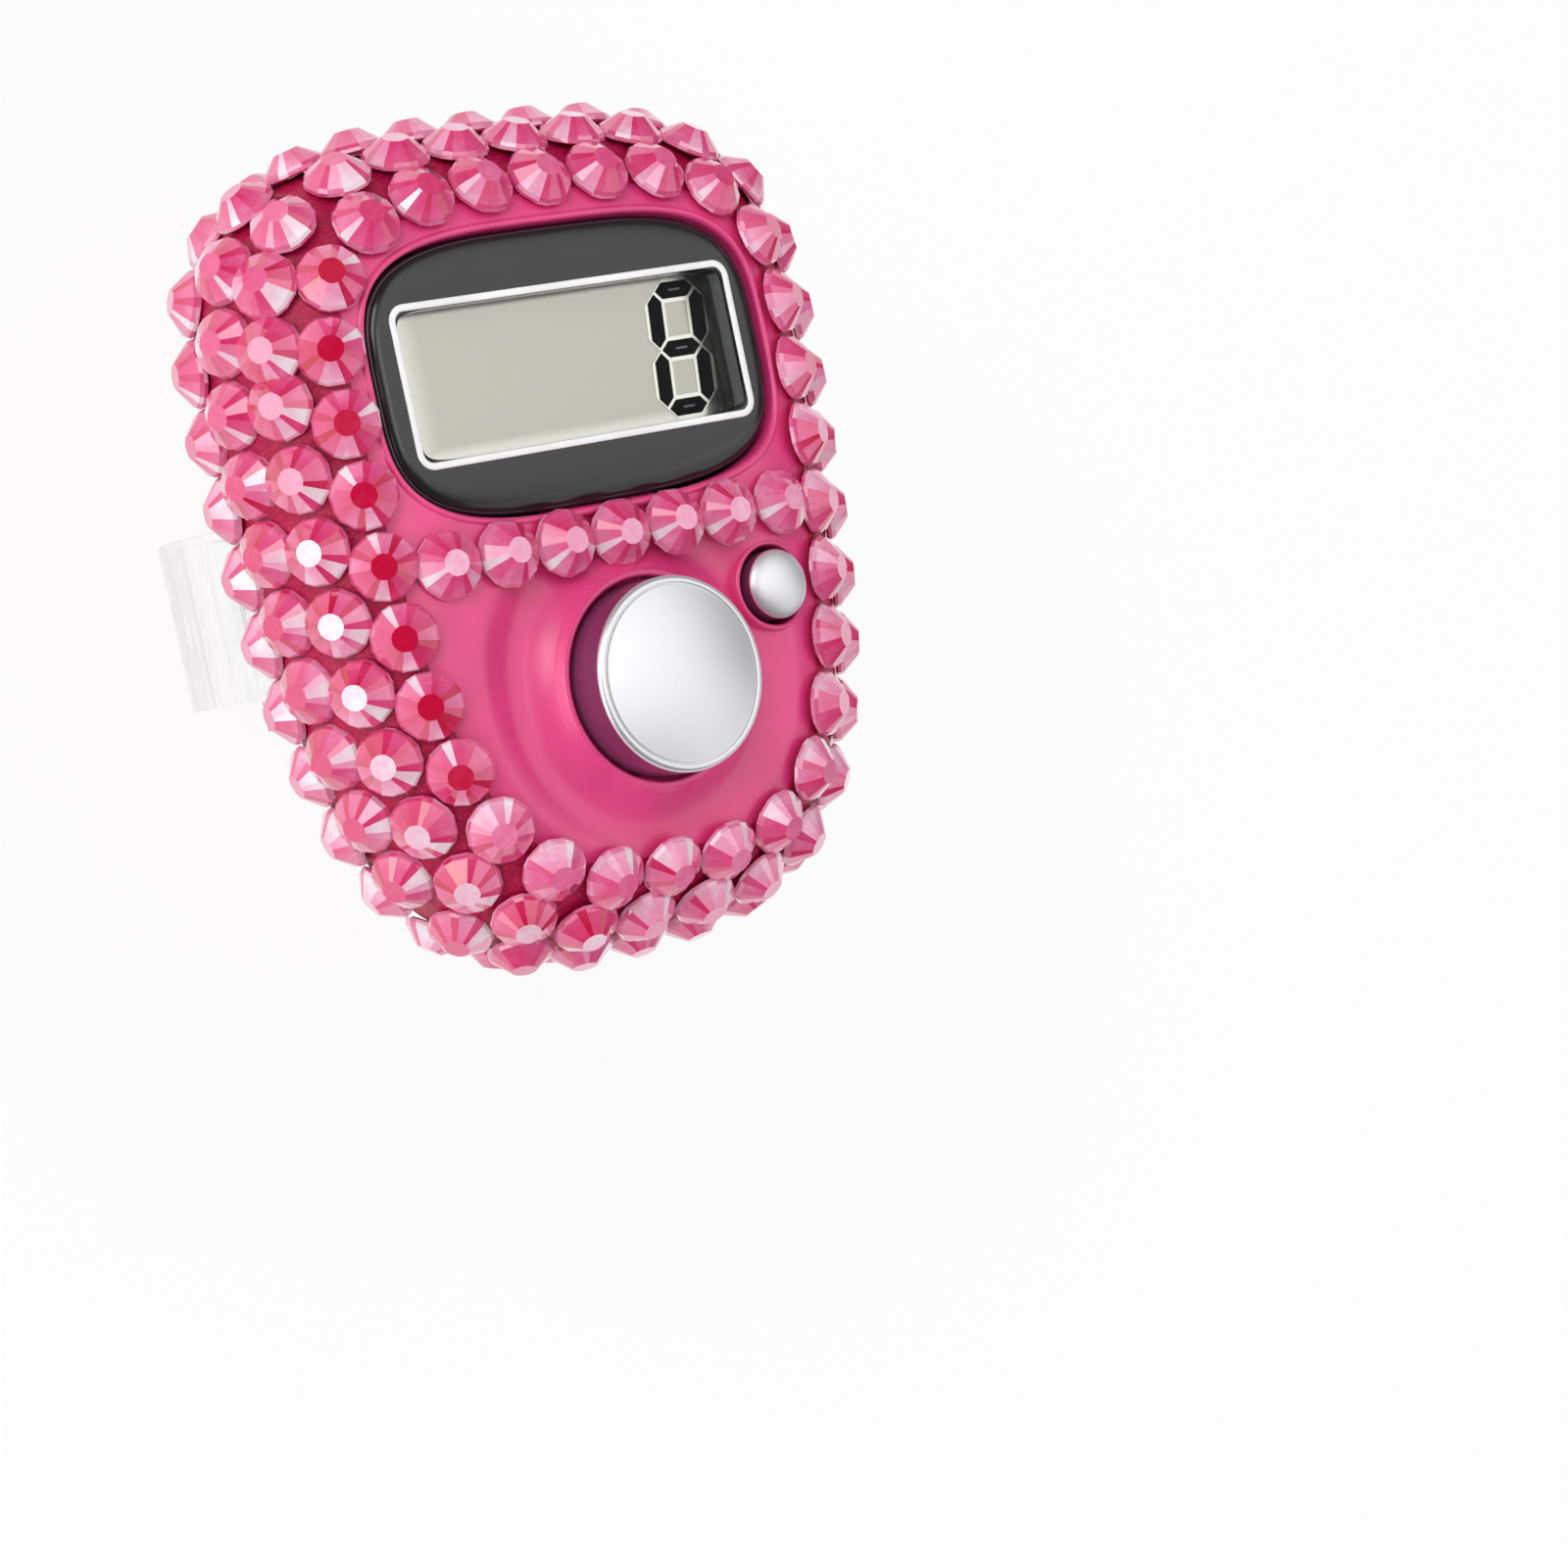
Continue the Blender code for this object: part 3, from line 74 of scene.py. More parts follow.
length = partial(setting, FloatProperty, {"unit": "LENGTH", "precision": 5})
share = partial(setting, FloatProperty, {"min": 0, "max": 1})
number = partial(setting, FloatProperty, {})
count = partial(setting, IntProperty, {"min": 3})
colour = partial(setting, FloatVectorProperty, {"subtype": "COLOR", "min": 0, "max": 1})


class CaseSizes(bpy.types.PropertyGroup):
    half_width: length(0.0151, "Half of the case's width at its widest")
    top_reach: length(0.0113, "From the middle of the plate to the case's top end")
    bottom_reach: length(0.0261, "From the middle of the plate to the case's foot")
    power: number(3.4, "How square the case's outline is")
    narrowing: share(0.08, "How much narrower the foot is")
    crown: length(0.00025, "Height of the face over the plate")
    edge_inset: length(0.00645, "Width of the rounded front edge")
    edge_drop: length(0.00535, "Height of the rounded front edge")
    rear_inset: length(0.0045, "Width of the rounded rear edge")
    rear_drop: length(0.0068, "Height of the rounded rear edge")
    parting: length(0.0097, "Depth of the line between front case and rear cover")
    wall: length(0.0012, "Thickness of the case's wall")
    dish_radius: length(0.0083, "Radius of the dish round the count button")
    dish_floor: length(0.007, "Radius of the dish's lowest circle")
    dish_depth: length(0.00045, "Depth of the dish under the face")
    collar_top: length(0.00105, "Height of the collar round the button's hole")
    pink: colour((0.8, 0.047, 0.225), "Colour of the moulded case")


class StoneSizes(bpy.types.PropertyGroup):
    radius: length(0.00158, "Radius of a stone at its girdle")
    table: share(0.38, "Radius of the flat top, as a share of the stone's")
    shoulder: share(0.93, "Radius where the crown bends inwards, as a share of the stone's")
    height: length(0.00114, "Height of a stone over its flat back")
    girdle: length(0.00024, "Height of the girdle")
    lift: length(0.00018, "Height of the flat back over the case")
    facets: count(16, "Facets round the crown")
    foil: colour((0.8, 0.2, 0.38), "Colour of the stones' mirrored back")
    glue: colour((0.5, 0.006, 0.07), "Colour of the glue between the stones")


class PlateSizes(bpy.types.PropertyGroup):
    half_width: length(0.01065, "Half of the plate's width")
    half_height: length(0.00637, "Half of the plate's height")
    power: number(3.6, "How square the plate's outline is")
    edge: length(0.00045, "Radius of the plate's pillowed edge")
    window_half_width: length(0.0091, "Half of the window's width")
    window_half_height: length(0.0034, "Half of the window's height")
    line: length(0.00032, "Width of the white line round the window")
    lip: length(0.00042, "Width of the case's lip round the plate")
    grey: colour((0.012, 0.0125, 0.0135), "Colour of the plate")


class DisplaySizes(bpy.types.PropertyGroup):
    digit_height: length(0.0063, "Height of the digit")
    digit_width: length(0.0032, "Width of the digit")
    stroke: length(0.00078, "Width of a segment")
    lean: share(0.095, "Sideways lean of the digit for each unit of height")
    place: length(0.00708, "From the middle of the display to the digit's middle")
    grey: colour((0.52, 0.495, 0.435), "Colour of the lit display")


class ButtonSizes(bpy.types.PropertyGroup):
    count_y: length(-0.01485, "Place of the count button's axis below the plate's middle")
    count_radius: length(0.0045, "Radius of the count button")
    count_top: length(0.0031, "Height of the count button's rim")
    count_dome: length(0.00042, "Rise of the count button's face")
    count_hole: length(0.0047, "Radius of the hole for the count button")
    reset_radius: length(0.00164, "Radius of the reset button")
    reset_top: length(0.00085, "Height of the reset button's edge")
    reset_dome: length(0.00027, "Rise of the reset button's face")
    reset_hole: length(0.00188, "Radius of the hole for the reset button")
    pearl: colour((0.83, 0.82, 0.84), "Colour of the pearl plating")


class StrapSizes(bpy.types.PropertyGroup):
    clear: colour((0.86, 0.87, 0.88), "Colour of the strap's silicone")


class StudioSettings(bpy.types.PropertyGroup):
    key: number(0.9, "Power of the lamp above at the left, in watts")
    side: number(0.8, "Power of the low lamp at the left, in watts")
    fill: number(0.4, "Power of the lamp at the right, in watts")
    sky: number(0.72, "Strength of the pale surroundings as a light")
    dark: number(0.1, "Strength of what glossy surfaces mirror from the camera's side")
    floor: colour((0.9, 0.9, 0.9), "Colour of the floor")


GROUPS = (CaseSizes, StoneSizes, PlateSizes, DisplaySizes, ButtonSizes, StrapSizes, StudioSettings)

# Each setting is labelled with its own name
for group in GROUPS:
    for key, field in group.__annotations__.items():
        field.keywords["name"] = key.replace("_", " ").capitalize()


class CounterSettings(bpy.types.PropertyGroup):
    case: PointerProperty(type=CaseSizes)
    stones: PointerProperty(type=StoneSizes)
    plate: PointerProperty(type=PlateSizes)
    display: PointerProperty(type=DisplaySizes)
    buttons: PointerProperty(type=ButtonSizes)
    strap: PointerProperty(type=StrapSizes)
    studio: PointerProperty(type=StudioSettings)


# Shader maths


class Wire:
    """A shader socket that can be used in Python arithmetic: each operation adds one Math node."""

    def __init__(self, graph, socket):
        self.graph = graph
        self.socket = socket

    def math(self, operation, other):
        return self.graph.add("ShaderNodeMath", {"operation": operation}, {0: self, 1: other})

    __add__ = __radd__ = partialmethod(math, "ADD")
    __sub__ = partialmethod(math, "SUBTRACT")
    __mul__ = __rmul__ = partialmethod(math, "MULTIPLY")
    __pow__ = partialmethod(math, "POWER")

    def __rsub__(self, other):
        return self * -1 + other

    def between(self, low, high):
        """0 below low, 1 above high and a smooth step between them."""
        node = {"interpolation_type": "SMOOTHSTEP"}
        return self.graph.add("ShaderNodeMapRange", node, {"Value": self, "From Min": low, "From Max": high})


class Graph:
    """A node tree, with one method that adds any node."""

    def __init__(self, tree):
        self.tree = tree

    def put(self, socket, value):
        if isinstance(value, Wire):
            self.tree.links.new(value.socket, socket)
        elif socket.type == "RGBA":
            socket.default_value = (*value[:3], 1)
        else:
            socket.default_value = value

    def add(self, kind, settings=None, values=None, output=0):
        """Any node: its settings first, then its sockets' values or links."""
        node = self.tree.nodes.new(kind)
        for name, value in (settings or {}).items():
            if name == "stops":
                ramp = node.color_ramp.elements
                while len(ramp) < len(value):
                    ramp.new(0.5)
                for element, (place, shade) in zip(ramp, value):
                    element.position = place
                    element.color = (*shade, 1)
            else:
                setattr(node, name, value)
        for name, value in (values or {}).items():
            self.put(node.inputs[name], value)
        return Wire(self, node.outputs[output])

    def rays(self):
        """1 for camera, glossy and transmission rays in turn, each as a wire of its own."""
        outputs = self.add("ShaderNodeLightPath").socket.node.outputs
        return [Wire(self, outputs[f"Is {kind} Ray"]) for kind in ("Camera", "Glossy", "Transmission")]


class Look(Graph):
    """A node material round one Principled shader."""

    def __init__(self, name, **constants):
        self.material = bpy.data.materials.new(name)
        self.material.use_nodes = True
        super().__init__(self.material.node_tree)
        self.shader = self.tree.nodes["Principled BSDF"]
        for socket, value in constants.items():
            self.set(socket.replace("_", " "), value)

    def set(self, socket, value):
        self.put(self.shader.inputs[socket], value)

    def place(self):
        return self.add("ShaderNodeTexCoord", output="Object")

    def noise(self, size, detail=2, roughness=0.5):
        """Noise over the object's own coordinates, with marks of about that size."""
        values = {"Vector": self.place(), "Scale": 1 / size, "Detail": detail, "Roughness": roughness}
        return self.add("ShaderNodeTexNoise", None, values)

    def attribute(self, name):
        return self.add("ShaderNodeAttribute", {"attribute_name": name}, output="Fac")

    def mix(self, factor, first, second):
        return self.add("ShaderNodeMix", {"data_type": "RGBA"}, {0: factor, 6: first, 7: second}, output=2)

    def mottle(self, factor, shade, low, high):
        """Base colour between two tints of a shade."""
        self.set("Base Color", self.mix(factor, tint(shade, low), tint(shade, high)))

    def gloss(self, factor, roughness, sway):
        """Roughness that a factor sways about its middle: factor times sway, plus roughness less half the sway."""
        self.set("Roughness", factor * sway + (roughness - sway / 2))

    def bump(self, height, depth, strength):
        """Puts a fine relief of that depth in metres under the shader's normal."""
        values = {"Height": height, "Distance": depth, "Strength": strength}
        self.set("Normal", self.add("ShaderNodeBump", None, values))

    def cover(self, factor, first, second):
        """Ends the material in a mix of two shaders."""
        mixed = self.add("ShaderNodeMixShader", None, {0: factor, 1: first, 2: second})
        self.put(self.tree.nodes["Material Output"].inputs["Surface"], mixed)

    def principled(self):
        return Wire(self, self.shader.outputs[0])


def tint(shade, factor):
    return tuple(min(1, part * factor) for part in shade)


def mottled(name, shade, low, high, roughness, sway, marks, **constants):
    """A look whose tint and gloss wander with one noise, and that noise: marks are its size, detail and roughness."""
    look = Look(name, **constants)
    noise = look.noise(*marks)
    look.mottle(noise, shade, low, high)
    look.gloss(noise, roughness, sway)
    return look, noise


def moulded(name, shade, roughness, coat=0.0, coat_roughness=0.06, relief=0.000006):
    """Moulded plastic: a little uneven in colour and gloss, with a very shallow surface ripple."""
    look = Look(name, Coat_Weight=coat, Coat_Roughness=coat_roughness)
    fine = look.noise(0.00035, 4, 0.6)
    look.mottle(look.noise(0.004, 3).between(0.35, 0.65), shade, 0.94, 1.05)
    look.gloss(fine, roughness, 0.08)
    look.bump(fine, relief, 0.35)
    return look.material


def bright_metal(name, shade, roughness):
    """Plated metal with fine brushing marks."""
    look, fine = mottled(name, shade, 0.9, 1.05, roughness, 0.16, (0.0002, 5, 0.7), Metallic=1.0)
    look.bump(fine, 0.000003, 0.3)
    return look.material


# Tones of the stones, from deep pink to nearly white
STONE_STOPS = (
    (0.0, (0.6, 0.003, 0.045)),
    (0.25, (0.75, 0.035, 0.16)),
    (0.47, (0.85, 0.105, 0.29)),
    (0.74, (0.96, 0.35, 0.56)),
    (1.0, (1.0, 0.86, 0.93)),
)


def stone_look():
    """Milky resin under a glossy coat. Each facet has a tone, with painted light, shade and glints in it, which
    deepens towards the table and clouds over.
    """
    look = Look("stone_resin", IOR=1.5, Coat_Weight=1.0, Coat_IOR=1.6, Coat_Roughness=0.03, Transmission_Weight=0.12)
    cloud = look.noise(0.0006, 4, 0.65)
    tone = look.attribute("tone") - (look.attribute("rise") - 0.45) * 0.24 + (cloud - 0.5) * 0.32
    look.set("Base Color", look.add("ShaderNodeValToRGB", {"stops": STONE_STOPS}, {"Fac": tone}))
    look.gloss(cloud, 0.08, 0.08)
    return look.material


def foil_look(shade):
    """The mirrored back of a stone."""
    return mottled("stone_foil", shade, 0.85, 1.15, 0.17, 0.1, (0.0006, 2), Metallic=0.3)[0].material


def glue_look(shade):
    """Grainy glue between the stones."""
    look = Look("glue_pink", IOR=1.35)
    grain = look.noise(0.00016, 3, 0.6)
    look.mottle(grain.between(0.4, 0.72), shade, 0.7, 1.25)
    look.gloss(grain, 0.4, 0.2)
    look.bump(grain, 0.00003, 0.6)
    return look.material


# Colours of the display's painted light along its edges and of its painted shade at its right
PAINTED_EDGE_LIGHT, PAINTED_RIGHT_SHADE = (1.0, 1.0, 0.97), (0.12, 0.117, 0.115)


def display_look(shade):
    """The lit display, with painted light that makes it paler along its left, upper and lower edges, and painted
    shade at its right.
    """
    look = Look("display_grey", Metallic=0.85)
    x, y = (look.add("ShaderNodeSeparateXYZ", None, {0: look.place()}, output=axis) for axis in (0, 1))
    low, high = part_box("window_pane")
    # Masks of the painted light along the left, lower and upper edges, and of the painted shade at the right
    left = 1 - (x - low.x).between(0.0003, 0.0021)
    lower = 1 - (y - low.y).between(0.0, 0.0007)
    upper = (y - high.y).between(-0.0003, 0.0002)
    right = (x - high.x).between(-0.0015, -0.0006)
    shade = look.mix(left.math("MAXIMUM", lower) * 0.5, shade, PAINTED_EDGE_LIGHT)
    shade = look.mix(upper * 0.5, shade, PAINTED_EDGE_LIGHT)
    look.set("Base Color", look.mix(right * 0.8, shade, PAINTED_RIGHT_SHADE))
    look.gloss(look.noise(0.002, 2), 0.16, 0.04)
    return look.material


def segment_look(name, shade, mirror):
    """A printed or driven layer of the display: nearly no gloss of its own, with a slight unevenness."""
    constants = {"Metallic": mirror, "Specular_IOR_Level": 0.0}
    return mottled(name, shade, 0.93, 1.07, 0.225, 0.05, (0.0008, 2), **constants)[0].material


def pane_look():
    """Clear window: see-through, with a gloss that grows towards grazing views."""
    look = Look("pane_clear", Roughness=0.02)
    look.set("Base Color", (0.9, 0.92, 0.92))
    clear = look.add("ShaderNodeBsdfTransparent", None, {"Color": (0.97, 0.975, 0.97)})
    gloss = look.add("ShaderNodeFresnel", None, {"IOR": 1.45})
    look.cover(gloss * 0.14, clear, look.principled())
    return look.material


def pearl_look(name, shade, roughness):
    """Satin pearl plating."""
    return mottled(name, shade, 0.97, 1.03, roughness, 0.06, (0.00012, 3), Metallic=0.8)[0].material


def silicone_look(shade):
    """Clear white silicone: see-through face on, and milky where it is seen at a slant, through more of it."""
    look, _ = mottled("silicone_clear", shade, 1.08, 1.14, 0.04, 0.04, (0.002, 3), IOR=1.2, Transmission_Weight=1.0)
    slant = look.add("ShaderNodeLayerWeight", None, {"Blend": 0.5}, output="Facing")
    look.set("Alpha", slant**3 * 0.62 + 0.11)
    look.bump(look.noise(0.0003, 3), 0.000003, 0.1)
    return look.material


# Meshes


def place_object(name, data):
    obj = bpy.data.objects.new(name, data)
    bpy.context.scene.collection.objects.link(obj)
    return obj


def assign(obj, look):
    obj.data.materials.clear()
    obj.data.materials.append(look)


def set_shading(obj, smooth=True, sharp=None):
    """Smooth or flat faces. Edges that turn by more than that many degrees stay crisp."""
    mesh = obj.data
    mesh.polygons.foreach_set("use_smooth", np.full(len(mesh.polygons), smooth))
    if sharp is not None:
        mesh.set_sharp_from_angle(angle=math.radians(sharp))
    mesh.update()


def tie(obj, body, slot, *replaces):
    """Says which body carries an object and hides the CAD nodes it stands for. The slot is not used."""
    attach(obj, body)
    if replaces:
        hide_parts(*replaces)


@contextmanager
def edited(mesh):
    """Lends a mesh as a bmesh and writes it back."""
    bm = bmesh.new()
    bm.from_mesh(mesh)
    yield bm
    bm.to_mesh(mesh)
    bm.free()


def mend(mesh):
    """Merges points that coincide and turns the faces outwards."""
    with edited(mesh) as bm:
        bmesh.ops.remove_doubles(bm, verts=bm.verts, dist=1e-7)
        bmesh.ops.recalc_face_normals(bm, faces=bm.faces)


def face_mesh(name, points, faces, look):
    """A mesh of face-frame points, with one material."""
    mesh = bpy.data.meshes.new(name)
    mesh.from_pydata((np.asarray(points, float) + FACE).tolist(), [], [list(map(int, face)) for face in faces])
    mesh.validate()
    mesh.materials.append(look)
    return mesh


def piece(name, points, faces, look, slot, *replaces, body="case", solid=True, smooth=True, sharp=None):
    """One named piece of the counter, made of face-frame points. A solid one is mended first."""
    mesh = face_mesh(name, points, faces, look)
    if solid:
        mend(mesh)
    obj = place_object(name, mesh)
    set_shading(obj, smooth, sharp)
    tie(obj, body, slot, *replaces)
    return obj


def grid_faces(rows, columns, around=False, closed=False):
    """Quads of a grid of rows by columns, with its columns wrapped if around and its rows if closed."""
    row, column = np.meshgrid(np.arange(rows - (not closed)), np.arange(columns - (not around)), indexing="ij")
    after_row, after_column = (row + 1) % rows * columns, (column + 1) % columns
    row = row * columns
    corners = (row + column, row + after_column, after_row + after_column, after_row + column)
    return np.stack(corners, -1).reshape(-1, 4)


def turned_mesh(profile, at, steps, closed=False):
    """A profile of radius and height carried round an axis: x = r cos t, y = r sin t, z = h."""
    profile = np.asarray(profile, float)
    angle = np.arange(steps) * TAU / steps
    x = profile[:, :1] * np.cos(angle) + at[0]
    y = profile[:, :1] * np.sin(angle) + at[1]
    z = np.repeat(profile[:, 1:], steps, 1)
    return np.stack((x, y, z), -1).reshape(-1, 3), grid_faces(len(profile), steps, True, closed)


def capped_turned_mesh(profile, at, steps):
    """A turned mesh whose profile starts and ends on the axis: each end is one point with a fan round it."""
    points, quads = turned_mesh(profile[1:-1], at, steps)
    near, hub = np.arange(steps), np.full(steps, len(points))
    after, low = (near + 1) % steps, len(points) - steps
    start_fan, end_fan = np.stack((near, after, hub), -1), np.stack((low + after, low + near, hub + 1), -1)
    points = np.vstack((points, [(*at, profile[0][1]), (*at, profile[-1][1])]))
    return points, [*quads[:, ::-1], *start_fan, *end_fan]


def arc(centre_radius, centre_height, radius, start, end, steps):
    """Part of a profile: an arc between two angles in degrees."""
    angle = np.radians(np.linspace(start, end, steps))
    return np.stack((centre_radius + radius * np.cos(angle), centre_height + radius * np.sin(angle)), -1)


def circle(radius, at, steps=96):
    """Plan points on a circle: x = r cos t and y = r sin t, from its centre."""
    angle = np.arange(steps) * TAU / steps
    return np.stack((at[0] + radius * np.cos(angle), at[1] + radius * np.sin(angle)), -1)


def rounded_box(half_width, half_height, corner, steps):
    """A rectangle with a quarter circle for each corner, anticlockwise from the upper right one."""
    points = []
    for quarter, (sx, sy) in enumerate(((1, 1), (-1, 1), (-1, -1), (1, -1))):
        angle = np.linspace(0, math.pi / 2, steps) + quarter * math.pi / 2
        x, y = sx * (half_width - corner), sy * (half_height - corner)
        points.append(np.stack((x + corner * np.cos(angle), y + corner * np.sin(angle)), -1))
    return np.vstack(points)


def superellipse(angle, half_width, half_height, power):
    """A superellipse in polar form: radius (|cos|^p + |sin|^p)^(-1/p), stretched to its two half sizes."""
    c, s = np.cos(angle), np.sin(angle)
    radius = (np.abs(c) ** power + np.abs(s) ** power) ** (-1 / power)
    return half_width * radius * c, half_height * radius * s


def strip(outline, profile):
    """A closed profile of outward offset and height carried along a closed plan outline: the point of offset d at
    outline point p with outward normal n lies at p + d n."""
    ahead = np.roll(outline, -1, 0) - np.roll(outline, 1, 0)
    out = np.stack((ahead[:, 1], -ahead[:, 0]), -1) / np.linalg.norm(ahead, axis=1, keepdims=True)
    profile = np.asarray(profile, float)
    plan = outline[:, None, :] + out[:, None, :] * profile[None, :, :1]
    height = np.repeat(profile[None, :, 1:], len(outline), 0)
    points = np.concatenate((plan, height), -1).reshape(-1, 3)
    return points, grid_faces(len(outline), len(profile), around=True, closed=True)


def pillars(outlines, low, high):
    """Solids over plan outlines between two heights."""
    points, faces, first = [], [], 0
    for outline in outlines:
        steps = len(outline)
        points += [np.insert(outline, 2, height, axis=1) for height in (low, high)]
        ends = [range(steps)[::-1], range(steps, 2 * steps)]
        faces += [[first + corner for corner in face] for face in (*grid_faces(2, steps, around=True), *ends)]
        first += 2 * steps
    return np.vstack(points), faces


def apply_modifiers(obj):
    old = obj.data
    graph = bpy.context.evaluated_depsgraph_get()
    mesh = bpy.data.meshes.new_from_object(obj.evaluated_get(graph))
    obj.modifiers.clear()
    obj.data = mesh
    bpy.data.meshes.remove(old)


def open_up(obj, outlines, low, high):
    """Cuts holes of those plan outlines through an open skin, leaving no walls: the faces that the cutter brings in
    carry its own material and are taken out again."""
    cutter = face_mesh("cutter", *pillars(outlines, low, high), bpy.data.materials.new("cut_wall"))
    mend(cutter)
    tool = place_object("cutter", cutter)
    boolean = obj.modifiers.new("cut", "BOOLEAN")
    boolean.operation = "DIFFERENCE"
    boolean.solver = "EXACT"
    boolean.material_mode = "TRANSFER"
    boolean.object = tool
    apply_modifiers(obj)
    bpy.data.objects.remove(tool)
    with edited(obj.data) as bm:
        walls = [face for face in bm.faces if face.material_index > 0]
        bmesh.ops.delete(bm, geom=walls, context="FACES")
    while len(obj.data.materials) > 1:
        obj.data.materials.pop()


# The case's surface

COLLAR_EDGE = 0.00025  # Outside the count button's hole, where the dish's slope reaches the collar's top
MARKS_DEPTH, MARKS_PITCH, MARKS_SPAN = 0.000016, 0.00095, 0.0011  # Turning marks in the dish
RIM_SPAN, COLLAR_SPAN = 0.0007, 0.0009  # Runs over which the face meets the dish, and the dish the collar
SEAT_GAP, LIP_GAP = 0.0003, 0.00018  # From the plate's outline to the cut in the case, and to the lip
COUNT_GAP, RESET_GAP = 0.0004, 0.00012  # From the buttons' holes to the cuts in the case
CUT_LOW, CUT_HIGH = -0.0041, 0.0031  # Heights between which the case is cut
BEND = 0.00014  # Radius of the small bends round the buttons' holes


def narrowed(y, case):
    """Width of the case at a place along its length, as a share: 1 in the upper half, and less towards the foot."""
    return 1 - case.narrowing * np.maximum(0, -y) / case.bottom_reach


def case_outline(angle, inset, case):
    """The case's plan shape drawn in by inset: a superellipse that is longer and narrower towards its foot."""
    reach = np.where(np.sin(angle) > 0, case.top_reach, case.bottom_reach)
    x, y = superellipse(angle, case.half_width - inset, reach - inset, case.power)
    return x * narrowed(y, case), y


def case_surface(angle, turn, case):
    """The side at an outline angle and a turn: a quarter ellipse from the widest line (turn 0) up to the face, and
    another down to the back."""
    front = turn >= 0
    inset = np.where(front, case.edge_inset, case.rear_inset) * (1 - np.cos(turn))
    above = case.crown - case.edge_drop * (1 - np.sin(turn))
    below = case.crown - case.edge_drop + case.rear_drop * np.sin(turn)
    x, y = case_outline(angle, inset, case)
    return np.stack((x, y, np.where(front, above, below) + 0 * x), -1)


def case_normal(angle, turn, case):
    """Outward normal: the cross product of small steps along the surface's two parameters."""
    step = 0.003
    along = case_surface(angle + step, turn, case) - case_surface(angle - step, turn, case)
    up = case_surface(angle, turn + step, case) - case_surface(angle, turn - step, case)
    normal = np.cross(along, up)
    return normal / np.linalg.norm(normal, axis=-1, keepdims=True)


def face_height(x, y, case):
    """Height of the case over a plan point: the inset of the outline through it is found by halving, and the edge's
    quarter ellipse gives the height there."""
    across = np.abs(x) / narrowed(y, case)
    reach = np.where(y > 0, case.top_reach, case.bottom_reach)
    low, high = np.zeros_like(across), np.full_like(across, case.edge_inset)
    for _ in range(30):
        middle = (low + high) / 2
        level = (across / (case.half_width - middle)) ** case.power + (np.abs(y) / (reach - middle)) ** case.power
        inside = level < 1
        low, high = np.where(inside, middle, low), np.where(inside, high, middle)
    rise = np.sqrt(np.clip(1 - (1 - low / case.edge_inset) ** 2, 0, 1))
    return case.crown - case.edge_drop * (1 - rise)


def dish_height(radius, case, buttons):
    """The dish in half section: a parabola from its lowest circle out to its rim, and a curve of power 2.2 from there
    in to the collar."""
    floor = case.crown - case.dish_depth
    outer = case.dish_depth * ((radius - case.dish_floor) / (case.dish_radius - case.dish_floor)) ** 2
    run = (case.dish_floor - radius) / (case.dish_floor - buttons.count_hole - COLLAR_EDGE)
    inner = (case.collar_top - floor) * np.clip(run, 0, 1.02) ** 2.2
    return floor + np.where(radius > case.dish_floor, outer, inner)


def soft_lower(a, b, reach):
    """The lower of two heights, rounded where they come within reach: b + (a - b) m - reach m (1 - m), with m running
    from 0 to 1 as b rises past a."""
    mix = np.clip(0.5 + 0.5 * (b - a) / reach, 0, 1)
    return b + (a - b) * mix - reach * mix * (1 - mix)


def dished(x, y, height, case, buttons):
    """Lowers the case's surface into the dish, with a soft rim and faint turning marks (a sine of the radius that
    fades away from the lowest circle), and lifts it to the collar inside it."""
    radius = np.hypot(x, y - buttons.count_y)
    fade = np.exp(-(((radius - case.dish_floor) / MARKS_SPAN) ** 2))
    dish = dish_height(radius, case, buttons) + MARKS_DEPTH * np.sin(TAU * radius / MARKS_PITCH) * fade
    rim = soft_lower(height, dish, RIM_SPAN)
    inside = np.clip((case.dish_floor - radius) / COLLAR_SPAN, 0, 1)
    return rim + (dish - rim) * inside * inside * (3 - 2 * inside)


def case_shell_mesh(case, buttons, steps=84, rings=44):
    """The front case's skin. Its flat middle is a square grid squeezed into the outline, and rings carry on from the
    grid's border over the rounded edge and down to the parting line. The dish lowers both."""
    line = np.linspace(-1, 1, steps + 1)
    v, u = np.meshgrid(line, line, indexing="ij")
    angle = np.arctan2(v, u)
    x, y = np.maximum(np.abs(u), np.abs(v)) * case_outline(angle, case.edge_inset, case)
    inner = np.stack((x, y, np.full_like(x, case.crown)), -1).reshape(-1, 3)
    # The grid's border, anticlockwise from its lower right corner
    side = np.arange(steps)
    full, back = np.full(steps, steps), steps - side
    rows = np.concatenate((side, full, back, 0 * side))
    columns = np.concatenate((full, back, 0 * side, side))
    border = rows * (steps + 1) + columns
    foot = -math.asin((case.parting - (case.edge_drop - case.crown)) / case.rear_drop)
    turns = np.concatenate((np.linspace(math.pi / 2, 0, rings + 1)[1:], np.linspace(0, foot, 9)[1:]))
    outer = case_surface(angle[rows, columns][None, :], turns[:, None], case).reshape(-1, 3)
    points = np.vstack((inner, outer))
    points[:, 2] = dished(*points.T, case, buttons)
    ids = np.vstack((border, len(inner) + np.arange(len(outer)).reshape(len(turns), -1)))
    after = np.roll(ids, -1, 1)
    ring_faces = np.stack((ids[:-1], ids[1:], after[1:], after[:-1]), -1).reshape(-1, 4)
    return points, np.vstack((grid_faces(steps + 1, steps + 1), ring_faces))


# The front case


def reset_place():
    low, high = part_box("reset_button")
    return (low.x + high.x) / 2, (low.y + high.y) / 2 - FACE[1]


def plate_outline(plate, gap, steps=180):
    """Plan points round the plate, a gap outside it."""
    angle = (np.arange(steps) + 0.4) * TAU / steps
    return np.stack(superellipse(angle, plate.half_width + gap, plate.half_height + gap, plate.power), -1)


